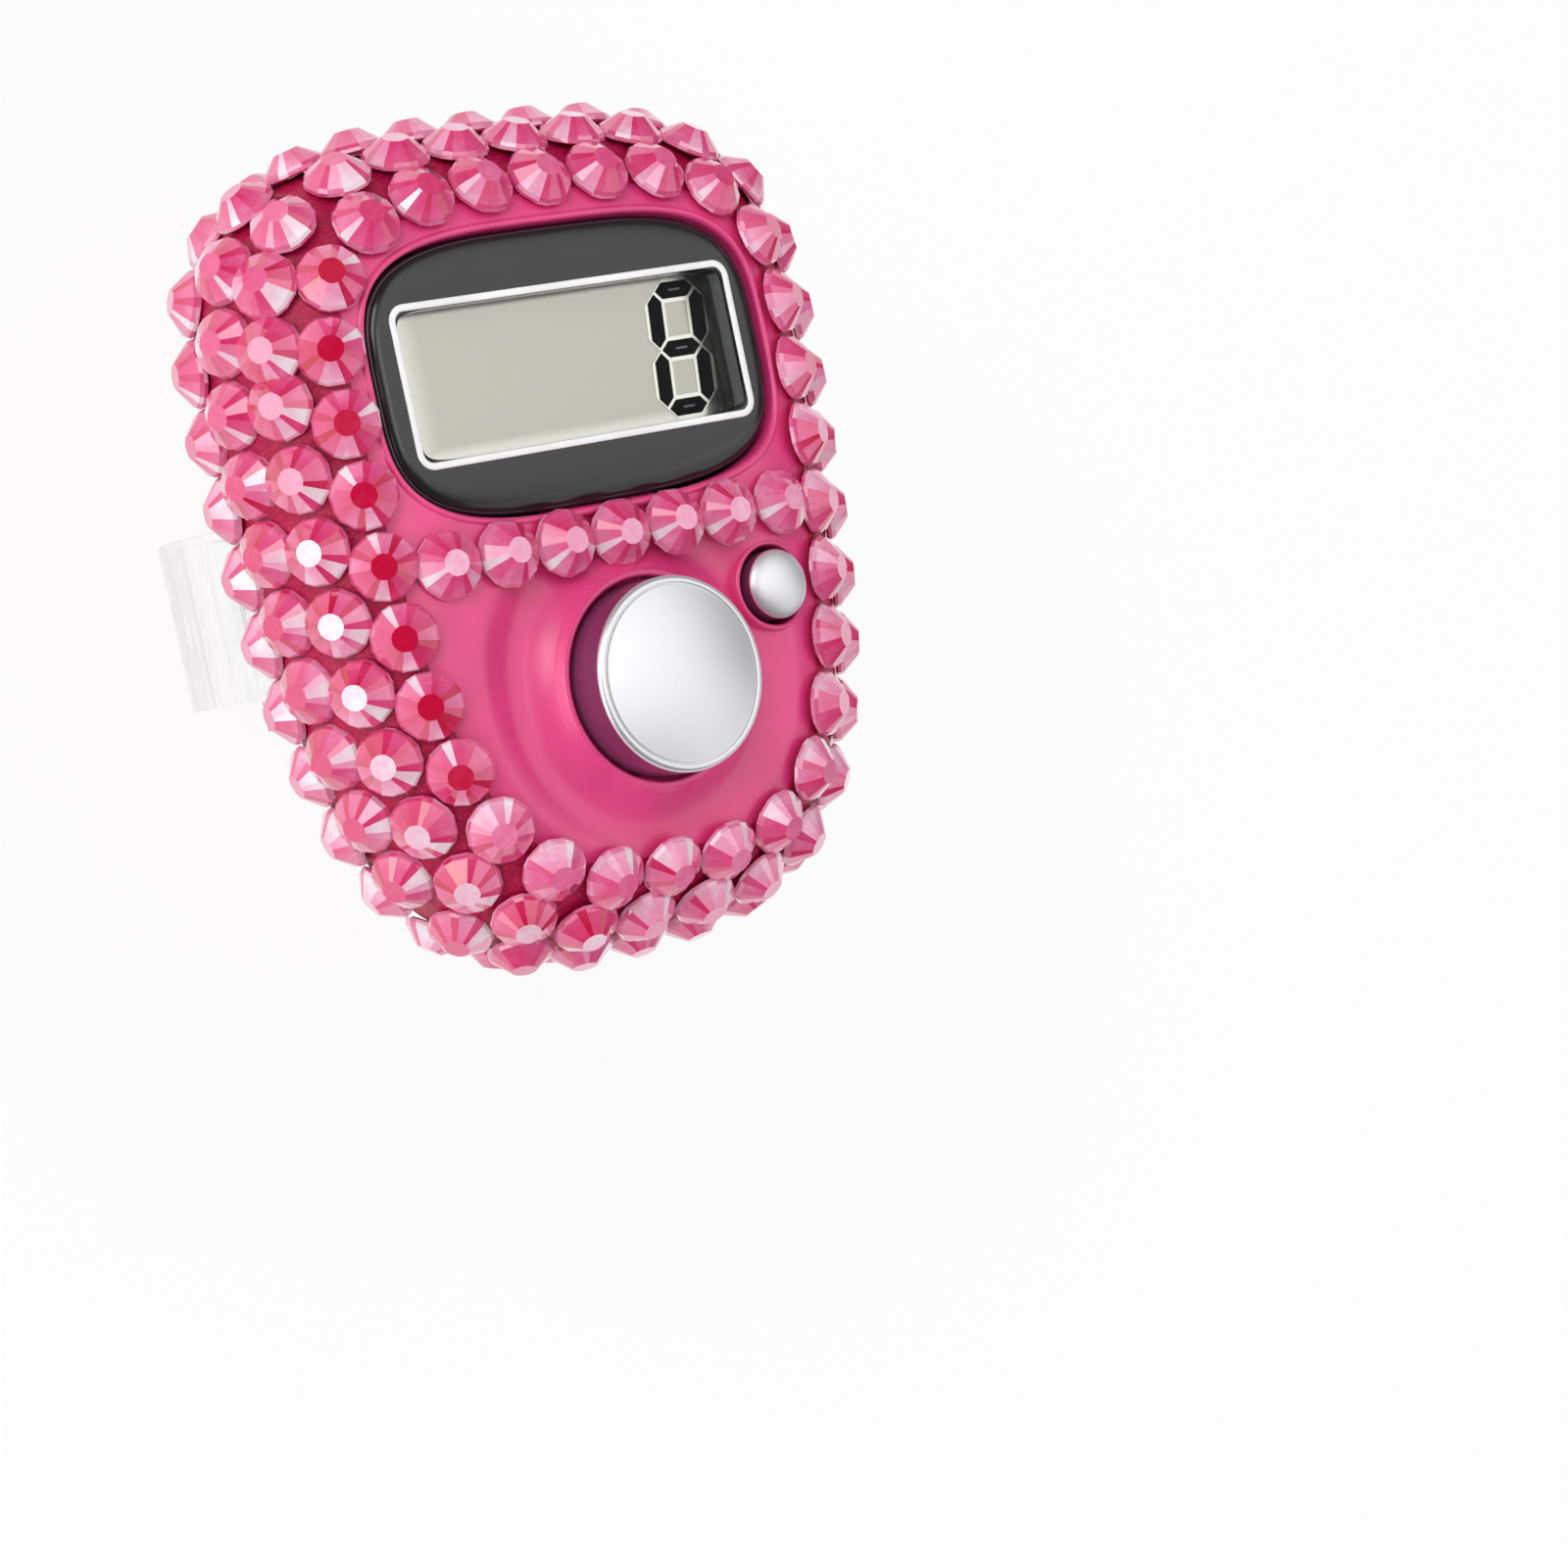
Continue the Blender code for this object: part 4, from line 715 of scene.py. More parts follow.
def follow_face(points, case, level, reach):
    """Lets points that stand on the face at that level follow the case where it falls away, from reach down."""
    ground = face_height(points[:, 0], points[:, 1], case)
    points[:, 2] += np.where(points[:, 2] > -reach, ground - level, 0)
    return points


def build_shell(case, buttons, plate, pink):
    """The case's skin, opened for the plate and the buttons and given its wall."""
    shell = piece("case_shell", *case_shell_mesh(case, buttons), pink, "case_pink", "front_case", solid=False)
    count_hole = circle(buttons.count_hole + COUNT_GAP, (0, buttons.count_y))
    reset_hole = circle(buttons.reset_hole + RESET_GAP, reset_place(), 64)
    open_up(shell, (plate_outline(plate, SEAT_GAP), count_hole, reset_hole), CUT_LOW, CUT_HIGH)
    wall = shell.modifiers.new("wall", "SOLIDIFY")
    wall.thickness = case.wall
    wall.offset = -1
    apply_modifiers(shell)
    set_shading(shell, sharp=38)


def build_lip(case, plate, pink):
    """The lip round the plate: down its inner wall, over its rounded top and out onto the face."""
    half, level, rise, foot = plate.lip / 2, 0.00008, 0.00026, -0.0011
    angle = np.linspace(math.pi, 0, 13)
    top = np.stack((half + half * np.cos(angle), level + rise * np.sin(angle)), -1)
    profile = np.vstack(([(0, foot), (0, -0.0002)], top, [(plate.lip + 0.0002, -0.0006), (plate.lip, foot)]))
    points, faces = strip(plate_outline(plate, LIP_GAP), profile)
    piece("plate_lip", follow_face(points, case, case.crown, reach=0.0008), faces, pink, "case_pink", sharp=50)


def build_collar(case, buttons, pink):
    """The collar round the count button's hole: the end of the dish's slope, a small bend and a wall downwards."""
    hole, width, foot, skin = buttons.count_hole, 0.0006, -0.0021, 0.000004
    radii = np.linspace(hole + width, hole + 2 * BEND, 8)
    slope = np.stack((radii, dish_height(radii, case, buttons) + skin), -1)
    bend = arc(hole + BEND, slope[-1, 1] - 0.00012, BEND, 55, 180, 9)
    profile = np.vstack((slope, bend, [(hole, foot), (hole + width, foot)]))
    points, faces = turned_mesh(profile, (0, buttons.count_y), 128, closed=True)
    piece("count_collar", points, faces, pink, "case_pink", sharp=50)


def build_recess(case, buttons, pink):
    """The edge of the reset button's recess: a small bend that follows the case's face, and a wall downwards."""
    hole, at, width, foot = buttons.reset_hole, reset_place(), 0.0004, -0.002
    ground = float(face_height(*at, case))
    bend = arc(hole + BEND, ground - 0.00011, BEND, 20, 180, 12)
    profile = np.vstack((bend, [(hole, foot), (hole + width, foot)]))
    points, faces = turned_mesh(profile, at, 96, closed=True)
    piece("reset_recess", follow_face(points, case, ground, reach=0.001), faces, pink, "case_pink", sharp=50)


def build_case(settings):
    case, buttons, plate = settings.case, settings.buttons, settings.plate
    pink = moulded("case_pink", case.pink, 0.38, coat=0.7, coat_roughness=0.28)
    build_shell(case, buttons, plate, pink)
    build_lip(case, plate, pink)
    build_collar(case, buttons, pink)
    build_recess(case, buttons, pink)


# Stones

# Each ring of stones: degrees up from the widest line, and its runs as (stones, first share, last share) of the
# ring's length from the top by the left side
RING_TURNS = (55.5, 29.5, 2.0, -24.5)
RING_RUNS = (
    ((30, 0.0962, 1.0629),),
    ((3, 0.1162, 0.1687), (11, 0.1909, 0.4890), (20, 0.5205, 1.0830)),
    ((10, 0.1383, 0.3840), (18, 0.4160, 0.8890), (8, 0.9176, 1.1100)),
    ((36, 0.1150, 1.0872),),
)

# How each ring was stuck on: degrees further up all round and at the upper left corner, and lean towards the front
# all round and at the top
RING_SHIFTS = ((0, 0, (0, 0.4)), (1, 0, (0.05, -0.25)), (0, 6, (0.28, -0.3)), (0, 0, (0.12, -0.1)))
CORNER_SHARE, CORNER_SPAN = 0.15, 0.03

# Painted light and shade of the stones of each ring at places along it: share of the ring's length, table tone (a
# painted reflection), clock hours of the two bright wedges (painted glints), mean tone and contrast
TOP_PAINTED_LIGHT = (0.0, 0.75, 7.2, 12.0, 0.45, 0.35)
RIGHT_PAINTED_LIGHT = (0.75, 0.4, 8.0, 8.9, 0.42, 0.5)
RING_PAINTED_LIGHT = (
    ((0.0, 0.5, 7.5, 10.8, 0.38, 0.35), (0.1, 0.3, 7.6, 1.5, 0.42, 0.7), (0.13, 0.0, 1.6, 6.0, 0.42, 1),
     (0.3, 0.0, 10.8, 5.4, 0.42, 1), (0.45, 0.55, 12.6, 10.5, 0.54, 1), (0.6, 0.6, 12.6, 10.5, 0.56, 0.8),
     (0.7, 0.6, 12.4, 10.5, 0.5, 0.8), (0.85, 0.4, 8.0, 8.9, 0.42, 0.5)),
    (TOP_PAINTED_LIGHT, (0.12, 0.42, 4.5, 9.0, 0.42, 0.7), (0.2, 0.42, 4.4, 5.5, 0.4, 1), (0.26, 0.9, 4.4, 6.0, 0.42, 1),
     (0.42, 0.9, 4.3, 6.0, 0.42, 1), (0.5, 0.6, 12.5, 10.5, 0.57, 0.9), RIGHT_PAINTED_LIGHT),
    (TOP_PAINTED_LIGHT, (0.12, 0.42, 5.0, 9.0, 0.42, 0.7), (0.3, 0.3, 2.8, 3.6, 0.42, 1), (0.42, 0.3, 2.7, 3.5, 0.45, 1),
     (0.5, 0.55, 1.0, 11.0, 0.57, 0.8), RIGHT_PAINTED_LIGHT),
    (TOP_PAINTED_LIGHT, (0.12, 0.42, 5.0, 9.0, 0.45, 0.7), (0.3, 0.45, 3.0, 1.0, 0.5, 0.8), (0.42, 0.45, 1.5, 2.6, 0.54, 0.8),
     (0.5, 0.55, 1.0, 11.0, 0.57, 0.8), RIGHT_PAINTED_LIGHT),
)

# Painted shade and light of the facets: tones of narrow and of wide facets against the stone's mean, and painted
# glints of its two bright wedges
NARROW, WIDE, GLINT_TONES = -0.14, 0.05, (1.0, 0.8)

# Unevenness of the stones: share by which their narrow facets are narrower, tilt, and turn in radians
NARROWER, TILT, SPIN = 0.12, 0.035, 0.1

# The row across the face: its stones, half its length, its place and its painted light (table tone, the hours of its
# two painted glints, mean tone and contrast)
ROW_STONES, ROW_HALF, ROW_Y, ROW_PAINTED_LIGHT = 7, 0.0093, -0.008, (0.75, 8.0, 4.2, 0.5, 0.9)


def ring_angles(turn, shares, case):
    """Outline angles at shares of the ring's length, measured from its top centre by the left side."""
    angles = np.linspace(math.pi / 2, math.pi / 2 + TAU, 2881)
    points = case_surface(angles, np.full_like(angles, turn), case)
    lengths = np.concatenate(([0], np.cumsum(np.linalg.norm(np.diff(points, axis=0), axis=1))))
    return np.interp(np.mod(shares, 1) * lengths[-1], lengths, angles)


def stone_mesh(stones):
    """One stone at the origin: rows of points round its axis from its flat back over the girdle to its table. Wide
    and narrow facets take turns."""
    n = stones.facets
    angle = (np.arange(n) + np.where(np.arange(n) % 2, NARROWER, -NARROWER)) * TAU / n
    r, g = stones.radius, stones.girdle
    bend = (stones.shoulder * r, g + 0.2 * (stones.height - g))
    rows = ((0.93 * r, 0), (r, 0.35 * g), (0.985 * r, g), bend, (stones.table * r, stones.height))
    points = np.vstack([np.column_stack((a * np.cos(angle), a * np.sin(angle), np.full(n, z))) for a, z in rows])
    sides = grid_faces(len(rows), n, around=True).tolist()
    return points, [*sides, list(range(n))[::-1], list(range(4 * n, 5 * n))]


def stone_frames(normal, seed, lean):
    """A frame for each stone, each a little off: z along the normal, x as near as can be to the picture's upright."""
    random = np.random.default_rng(seed)
    normal = normal + random.normal(0, TILT, normal.shape)
    normal[:, 2] += lean[0] + lean[1] * np.maximum(0, normal[:, 1])
    normal /= np.linalg.norm(normal, axis=1, keepdims=True)
    up = np.tile(CAMERA_AXES[1], (len(normal), 1))
    up[np.abs(np.sum(up * normal, 1)) > 0.95] = (0, 0, 1)
    x = up - normal * np.sum(up * normal, 1, keepdims=True)
    x /= np.linalg.norm(x, axis=1, keepdims=True)
    y = np.cross(normal, x)
    spin = random.normal(0, SPIN, len(normal))[:, None]
    return x * np.cos(spin) + y * np.sin(spin), y * np.cos(spin) - x * np.sin(spin), normal


def stone_tones(total, facets, seed, marks):
    """Tone of each face of each stone, with light and shade painted in. Narrow facets are painted darker than wide
    ones, the facets lighten towards the first wedge, and each stone has two bright wedges, painted glints, at clock
    hours of its own. marks has five columns: table tone, the two hours, mean tone and contrast."""
    random = np.random.default_rng(seed)
    index = np.arange(facets)
    hour = ((12 - (index + 0.5) * 12 / facets) % 12)[None, :]
    table, first, second, mean, contrast = (marks[:, column, None] for column in range(5))
    wave = 0.1 * np.cos((hour - first) * TAU / 12) + random.normal(0, 0.08, (total, facets))
    wave = mean + contrast * (wave + np.where(index % 2, NARROW, WIDE))
    # Painted glints: the facet nearest each wedge's hour takes that wedge's tone
    for place, level in zip((first, second), GLINT_TONES):
        away = np.abs((hour - place + 6) % 12 - 6)
        level = mean + (level - mean) * np.minimum(1, contrast + 0.25)
        wave = np.where((away < 0.5) & (away == away.min(1, keepdims=True)), level, wave)
    # Faces in the mesh's order: sides below and at the girdle, crown below and above its bend, back and table
    below = np.tile(mean - 0.12, facets)
    girdle = mean + 0.12 + random.normal(0, 0.1, (total, facets))
    upper = wave + random.normal(0, 0.03, (total, facets))
    # The table's tone is a painted reflection, from dark to pale by place
    top = table + 0.14 + random.normal(0, 0.03, (total, 1))
    return np.clip(np.hstack((below, girdle, wave, upper, 0 * top, top)), 0, 1)


def stones_piece(name, places, normals, stones, looks, node, seed, marks, lean=(0, 0)):
    """Stones at those places of the case as one mesh, with the tone (painted light, shade and glints included) and
    the height of its facets as attributes.
    """
    unit, faces = stone_mesh(stones)
    frames = np.stack(stone_frames(normals, seed, lean), 1)
    base = places + normals * stones.lift
    points = (unit @ frames + base[:, None, :]).reshape(-1, 3)
    total = len(places)
    every = [[corner + index * len(unit) for corner in face] for index in range(total) for face in faces]
    mesh = piece(name, points, every, looks[0], "stone_resin", node, solid=False, smooth=False).data
    mesh.materials.append(looks[1])
    mesh.polygons.foreach_set("material_index", np.tile([0] * (4 * stones.facets) + [1, 0], total).astype(np.int32))
    rise, tone = np.tile(unit[:, 2] / stones.height, total), stone_tones(total, stones.facets, seed, marks)
    for key, domain, values in (("rise", "POINT", rise), ("tone", "FACE", tone)):
        mesh.attributes.new(key, "FLOAT", domain).data.foreach_set("value", values.reshape(-1).astype(np.float32))


def painted_light_at(shares, marks):
    """The painted light of the nearest noted place along the ring for each stone."""
    marks = np.array(marks)
    away = np.abs((np.mod(shares, 1)[:, None] - marks[None, :, 0] + 0.5) % 1 - 0.5)
    return marks[np.argmin(away, axis=1), 1:]


def build_stones(settings):
    case, stones = settings.case, settings.stones
    looks = (stone_look(), foil_look(stones.foil))
    rows = zip(RING_TURNS, RING_RUNS, RING_PAINTED_LIGHT, RING_SHIFTS)
    for index, (degrees, runs, marks, (shift, corner, lean)) in enumerate(rows, start=1):
        shares = np.concatenate([np.linspace(first, last, total) for total, first, last in runs])
        turn = math.radians(degrees + shift)
        turns = turn + math.radians(corner) * np.exp(-(((shares - CORNER_SHARE) / CORNER_SPAN) ** 2))
        way = (ring_angles(turn, shares, case), turns, case)
        stones_piece(f"ring_{index}_stones", case_surface(*way), case_normal(*way), stones, looks,
                     f"stone_ring_{index}", index, painted_light_at(shares, marks), lean)
    x = np.linspace(-ROW_HALF, ROW_HALF, ROW_STONES)
    y = np.full_like(x, ROW_Y)
    step = 0.0012
    slope = (face_height(x + step, y, case) - face_height(x - step, y, case)) / (2 * step)
    normals = np.stack((-slope, 0 * x, 0 * x + 1), -1)
    normals /= np.linalg.norm(normals, axis=1, keepdims=True)
    places = np.stack((x, y, face_height(x, y, case)), -1)
    stones_piece("row_stones", places, normals, stones, looks, "stone_row", 9, np.tile(ROW_PAINTED_LIGHT, (len(x), 1)))
    build_glue(case, glue_look(stones.glue))


def build_glue(case, look):
    """The glue that fills the gaps: a skin over the case's side, lifted by a smooth random relief and sunk at its
    two edges."""
    rows, columns, lifted, uneven, sunk, depth = 46, 420, 0.00012, 0.00003, 0.0002, 0.0004
    turns = np.radians(np.linspace(-37, 63, rows))
    angles = ring_angles(math.radians(20), np.arange(columns) / columns, case)
    turn, angle = np.meshgrid(turns, angles, indexing="ij")
    relief = np.random.default_rng(4).normal(0, 1, (rows, columns))
    for _ in range(2):
        relief = (relief + np.roll(relief, 1, 0) + np.roll(relief, -1, 0) + np.roll(relief, 1, 1)) / 2.4
    lift = lifted + uneven * relief
    lift[0] = lift[-1] = -sunk
    lift[1] = lift[-2] = 0.00002
    side, out = case_surface(angle, turn, case), case_normal(angle, turn, case)
    points = np.concatenate((side + out * lift[..., None], (side - out * depth)[::-1])).reshape(-1, 3)
    piece("stone_glue", points, grid_faces(2 * rows, columns, True, True), look, "stone_resin")


# Plate and display

PLATE_DEPTH, PLATE_BEND = 0.0009, 0.00012  # Thickness of the plate's rim, and radius of its outer edge
PILLOW, WINDOW_POWER, WINDOW_CORNER = 0.7, 14, 0.0005  # Share of the way to the window that is pillowed, and corners


def window_loop(angle, plate, grow):
    """The window's outline widened by grow: a high-power superellipse comes close to a rounded rectangle."""
    return superellipse(angle, plate.window_half_width + grow, plate.window_half_height + grow, WINDOW_POWER)


def build_plate(settings):
    """The plate as loops from its back over its edge, across its pillowed top and down the window, and the white
    line round the window. The pillow's height follows a quarter ellipse."""
    plate = settings.plate
    angle = np.arange(240) * TAU / 240
    loops = []

    def add_loop(x, y, height):
        loops.append(np.stack((x, y, np.full_like(x, height)), -1))

    turns = np.linspace(0, math.pi / 2, 7)[1:]
    edge = [(PLATE_BEND * (1 - math.cos(turn)), PLATE_BEND * math.sin(turn) - plate.edge) for turn in turns]
    for inset, height in ((0.0, -PLATE_DEPTH), (0.0, -plate.edge), *edge):
        add_loop(*superellipse(angle, plate.half_width - inset, plate.half_height - inset, plate.power), height)
    border_x, border_y, _ = loops[-1].T
    x, y = window_loop(angle, plate, plate.line + PLATE_BEND)
    for part in np.linspace(0.02, 1, 28):
        away = max(0, 1 - part / PILLOW)
        height = (PLATE_BEND - plate.edge) * (1 - math.sqrt(1 - away * away))
        add_loop(border_x * (1 - part) + x * part, border_y * (1 - part) + y * part, height)
    for grow, height in ((0.00004, 0.0), (0.0, -0.00004), (0.0, -PLATE_DEPTH)):
        add_loop(*window_loop(angle, plate, grow), height)
    grey = moulded("plate_grey", plate.grey, 0.22, coat=0.3)
    faces = grid_faces(len(loops), len(angle), True, True)
    piece("plate_body", np.concatenate(loops), faces, grey, "plate_black", "front_plate", sharp=40)
    white = moulded("line_white", (0.96, 0.97, 0.96), 0.4)
    w, soft, gap = plate.line, 0.00003, 0.00002
    outline = rounded_box(plate.window_half_width + gap, plate.window_half_height + gap, WINDOW_CORNER, 10)
    profile = [(0, -0.0001), (0, soft), (soft, 2 * soft), (w - soft, 2 * soft), (w, soft), (w, -0.0001)]
    piece("window_line", *strip(outline, profile), white, "plate_black", sharp=50)


# Bars of an eight between its corners: top, middle or bottom and left or right
DIGIT_BARS = (("tl", "tr"), ("ml", "mr"), ("bl", "br"), ("ml", "tl"), ("mr", "tr"), ("bl", "ml"), ("br", "mr"))


def digit_mesh(display, bars, reach, gap, level, lift):
    """Six-cornered bars of that half width, short of their joints by the gap, leant over and raised."""
    half = display.stroke / 2
    right = display.digit_width / 2 - half
    top = display.digit_height / 2 - half
    rows, sides = zip("tmb", (top, 0, -top)), (("l", -right), ("r", right))
    corners = {row + side: np.array((x, y)) for row, y in rows for side, x in sides}
    outlines = []
    for first, last in bars:
        start, end = corners[first], corners[last]
        along = (end - start) / np.linalg.norm(end - start)
        start, end = start + along * gap, end - along * gap
        tip, across = along * reach, np.array([-along[1], along[0]]) * reach
        outline = np.array([start, start + tip - across, end - tip - across, end, end - tip + across,
                            start + tip + across])
        outline[:, 0] += outline[:, 1] * display.lean + display.place
        outline[:, 1] += 0.00005
        outlines.append(outline)
    return pillars(outlines, level, level + lift)


def build_display(settings):
    display = settings.display
    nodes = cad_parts
    assign(nodes["display_mask"], moulded("mask_black", (0.02, 0.02, 0.021), 0.4))
    assign(nodes["lcd_front_glass"], display_look(display.grey))
    assign(nodes["window_pane"], pane_look())
    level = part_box("lcd_front_glass")[1].z - FACE[2] + 0.00001
    black = segment_look("segment_black", (0.002, 0.002, 0.002), 0.0)
    # Grey bars along the three horizontal segments are painted glints
    painted_glint_look = moulded("segment_painted_glint", (0.16, 0.16, 0.155), 0.5, relief=0.0)
    cream = segment_look("segment_cream", (0.9, 0.9, 0.82), 0.85)
    half = display.stroke / 2
    # Name, look, bars, half width, gap at the joints and thickness of each layer
    layers = (
        ("digit_outline", cream, DIGIT_BARS, half + 0.00019, 0.0, 0.000015),
        ("digit_segments", black, DIGIT_BARS, half, 0.00012, 0.00004),
        ("digit_painted_glints", painted_glint_look, DIGIT_BARS[:3], 0.00005, display.digit_width * 0.27, 0.00005),
    )
    for name, look, bars, reach, gap, lift in layers:
        points, faces = digit_mesh(display, bars, reach, gap, level, lift)
        piece(name, points, faces, look, "display_glass", smooth=False)


# Buttons


def cap_piece(name, profile, at, steps, top, radius, looks, body, sharp):
    """A button's turned cap, which replaces the node named as its body. Its side, from a little under its edge down,
    has a look of its own, with a painted reflection and painted shade."""
    below, within = 0.0003, 0.0001
    points, faces = capped_turned_mesh(profile, at, steps)
    mesh = piece(name, points, faces, looks[0], "button_chrome", body, body=body, sharp=sharp).data
    mesh.materials.append(looks[1])
    centres = np.empty(3 * len(mesh.polygons))
    mesh.polygons.foreach_get("center", centres)
    x, y, z = (centres.reshape(-1, 3) - FACE).T
    side = (z < top - below) & (np.hypot(x - at[0], y - at[1]) > radius - within)
    mesh.polygons.foreach_set("material_index", side.astype(np.int32))


def build_buttons(settings):
    buttons = settings.buttons
    pearl = pearl_look("pearl_satin", buttons.pearl, 0.36)
    # Plum on the caps' plated sides: a painted reflection of the pink case round them, darkened by painted shade
    painted_skirt_look = moulded("skirt_painted_reflection", (0.18, 0.032, 0.1), 0.3, coat=0.2)
    # Count button: a domed face (a parabola), a groove, a bright rim, the side and a hollow underneath
    r, top, dome = buttons.count_radius, buttons.count_top, buttons.count_dome
    inner, corner, hollow = r - 0.00045, 0.00024, (r - 0.0006, top - 0.001)
    out = np.linspace(0, 1, 14)[1:]
    face = np.stack((inner * out, top + dome * (1 - out**2)), -1)
    groove = [(inner + 0.00003, top - 0.0001), (inner + 0.00009, top - 0.0001)]
    crest = [(inner + 0.00011, top - 0.00002), (inner + 0.00015, top)]
    rim = arc(r - corner, top - corner, corner, 100, 0, 12)
    side = [(r, top - 0.0004), (r, 0.0004), (r, -0.0015), (hollow[0], -0.0015), hollow, (0, hollow[1])]
    profile = np.vstack(([(0, top + dome)], face, groove, crest, rim, side))
    cap_piece("count_cap", profile, (0, buttons.count_y), 128, top, r, (pearl, painted_skirt_look), "count_button", 42)
    # Reset button: a quarter ellipse for its face, and its side
    r, top, dome = buttons.reset_radius, buttons.reset_top, buttons.reset_dome
    swell = arc(0, 0, 1, 90, 4, 18) * (r, 1)
    swell[:, 1] = top + dome - (1 - swell[:, 1]) * (dome + 0.0003)
    profile = np.vstack((swell, [(r, top - 0.0004), (r, -0.0004), (r, -0.002), (0, -0.002)]))
    matt = pearl_look("pearl_matt", tint(buttons.pearl, 1.06), 0.46)
    cap_piece("reset_cap", profile, reset_place(), 96, top, r, (matt, painted_skirt_look), "reset_button", 60)


# Back, strap and what lies inside


def node_copy(name, node, look, slot, sharp=30):
    """A smooth-shaded copy of a CAD node: its loose triangles merged, its flats kept crisp."""
    obj = place_object(name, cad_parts[node].data.copy())
    obj.data.name = name
    with edited(obj.data) as bm:
        bmesh.ops.remove_doubles(bm, verts=bm.verts, dist=1e-6)
        bmesh.ops.dissolve_limit(bm, angle_limit=math.radians(0.5), verts=bm.verts, edges=bm.edges)
        bmesh.ops.recalc_face_normals(bm, faces=bm.faces)
    assign(obj, look)
    set_shading(obj, sharp=sharp)
    tie(obj, "case", slot, node)


def build_back(settings):
    pink = moulded("cover_pink", tint(settings.case.pink, 0.93), 0.32, coat=0.25)
    node_copy("cover_body", "rear_cover", pink, "cover_pink")
    silicone = silicone_look(settings.strap.clear)
    for side in ("left", "right"):
        node_copy(f"strap_band_{side}", f"strap_{side}", silicone, "strap_clear", sharp=40)


# Inner pieces in moulded plastic, rubber or ceramic: name of the look, colour, roughness and CAD nodes
INNER_LOOKS = (
    ("glass_grey", (0.5, 0.51, 0.47), 0.1, ("lcd_rear_glass",)),
    ("holder_white", (0.78, 0.78, 0.75), 0.45, ("lcd_holder",)),
    ("connector_rubber", (0.07, 0.07, 0.075), 0.6, ("zebra_connector",)),
    ("board_green", (0.02, 0.16, 0.06), 0.35, ("circuit_board",)),
    ("chip_resin", (0.015, 0.015, 0.016), 0.25, ("chip_blob",)),
    ("capacitor_tan", (0.45, 0.3, 0.16), 0.4, ("capacitor",)),
    ("resistor_black", (0.03, 0.03, 0.03), 0.4, ("resistor",)),
    ("dome_rubber", (0.7, 0.72, 0.74), 0.55, ("count_dome", "reset_dome")),
)
STEEL_NODES = ("case_screw", "board_screw", "strap_pin", "cell_contact", "button_cell")


def build_inside(settings):
    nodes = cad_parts
    for name, shade, roughness, names in INNER_LOOKS:
        look = moulded(name, shade, roughness)
        for node in names:
            assign(nodes[node], look)
    assign(nodes["lcd_reflector"], bright_metal("reflector_foil", (0.58, 0.57, 0.5), 0.35))
    steel = bright_metal("steel_plated", (0.6, 0.59, 0.56), 0.25)
    for name in nodes:
        if name.startswith(STEEL_NODES):
            assign(nodes[name], steel)


# Stage

# Lamps: name, place, width and height
LAMPS = (
    ("key_lamp", (-0.34, 0.26, 0.4), 0.3, 0.3),
    ("side_lamp", (-0.55, -0.03, 0.1), 0.5, 0.2),
    ("fill_lamp", (0.45, -0.25, 0.4), 0.4, 0.4),
)

# Patches of the room that glossy surfaces mirror, overhead, low at the left and straight above, and the dark one
# behind the camera: direction, cosines of the angle from it where the patch starts and is full, and brightness
BRIGHT_PATCHES = (
    ((0.3, 0.2, 0.93), 0.78, 0.97, 1.25),
    ((-0.95, 0.1, 0.2), 0.75, 1.0, 1.5),
    ((-0.2, 0.05, 0.98), 0.955, 0.992, 1.6),
)
DARK_PATCH, DARK_SHARE = ((-0.59, 0.05, 0.8), 0.86, 0.97), 0.75

FLOOR_HALF, FLOOR_GLOW = 3.0, 0.88  # Half of the floor's side, and share of plain white in what is seen of it


def build_stage(settings):
    studio = settings.studio
    scene = bpy.context.scene
    scene.view_settings.view_transform = "Standard"
    camera = bpy.data.cameras.new("camera")
    camera.lens = CAMERA_LENS
    camera.sensor_width = 36
    camera.clip_start = 0.005
    camera.clip_end = 20
    scene.camera = place_object("camera", camera)
    scene.camera.matrix_world = Matrix.Translation(CAMERA_AT) @ Matrix(CAMERA_AXES).transposed().to_4x4()
    make_floor(studio)
    for row, power in zip(LAMPS, (studio.key, studio.side, studio.fill)):
        lamp(*row, power)
    make_sky(scene, studio)


def lamp(name, place, width, height, power):
    """A rectangular lamp aimed at the middle of the counter."""
    data = bpy.data.lights.new(name, "AREA")
    data.energy = power
    data.shape = "RECTANGLE"
    data.size = width
    data.size_y = height
    obj = place_object(name, data)
    obj.location = place
    aim = Vector((0, 0, 0.02)) - Vector(place)
    obj.rotation_euler = aim.to_track_quat("-Z", "Y").to_euler()


def make_floor(studio):
    """A white floor that glows in what is seen of it, and takes the object's shadow."""
    mesh = bpy.data.meshes.new("floor")
    corners = [(x * FLOOR_HALF, y * FLOOR_HALF, 0) for x, y in ((-1, -1), (1, -1), (1, 1), (-1, 1))]
    mesh.from_pydata(corners, [], [(0, 1, 2, 3)])
    look = Look("floor_white", Roughness=0.9)
    look.set("Base Color", studio.floor)
    camera, glossy, through = look.rays()
    seen = (camera + glossy).math("MAXIMUM", through)
    glow = look.add("ShaderNodeEmission", None, {"Color": (1, 1, 1), "Strength": 1.0})
    look.cover(seen * FLOOR_GLOW, look.principled(), glow)
    mesh.materials.append(look.material)
    place_object("floor", mesh)


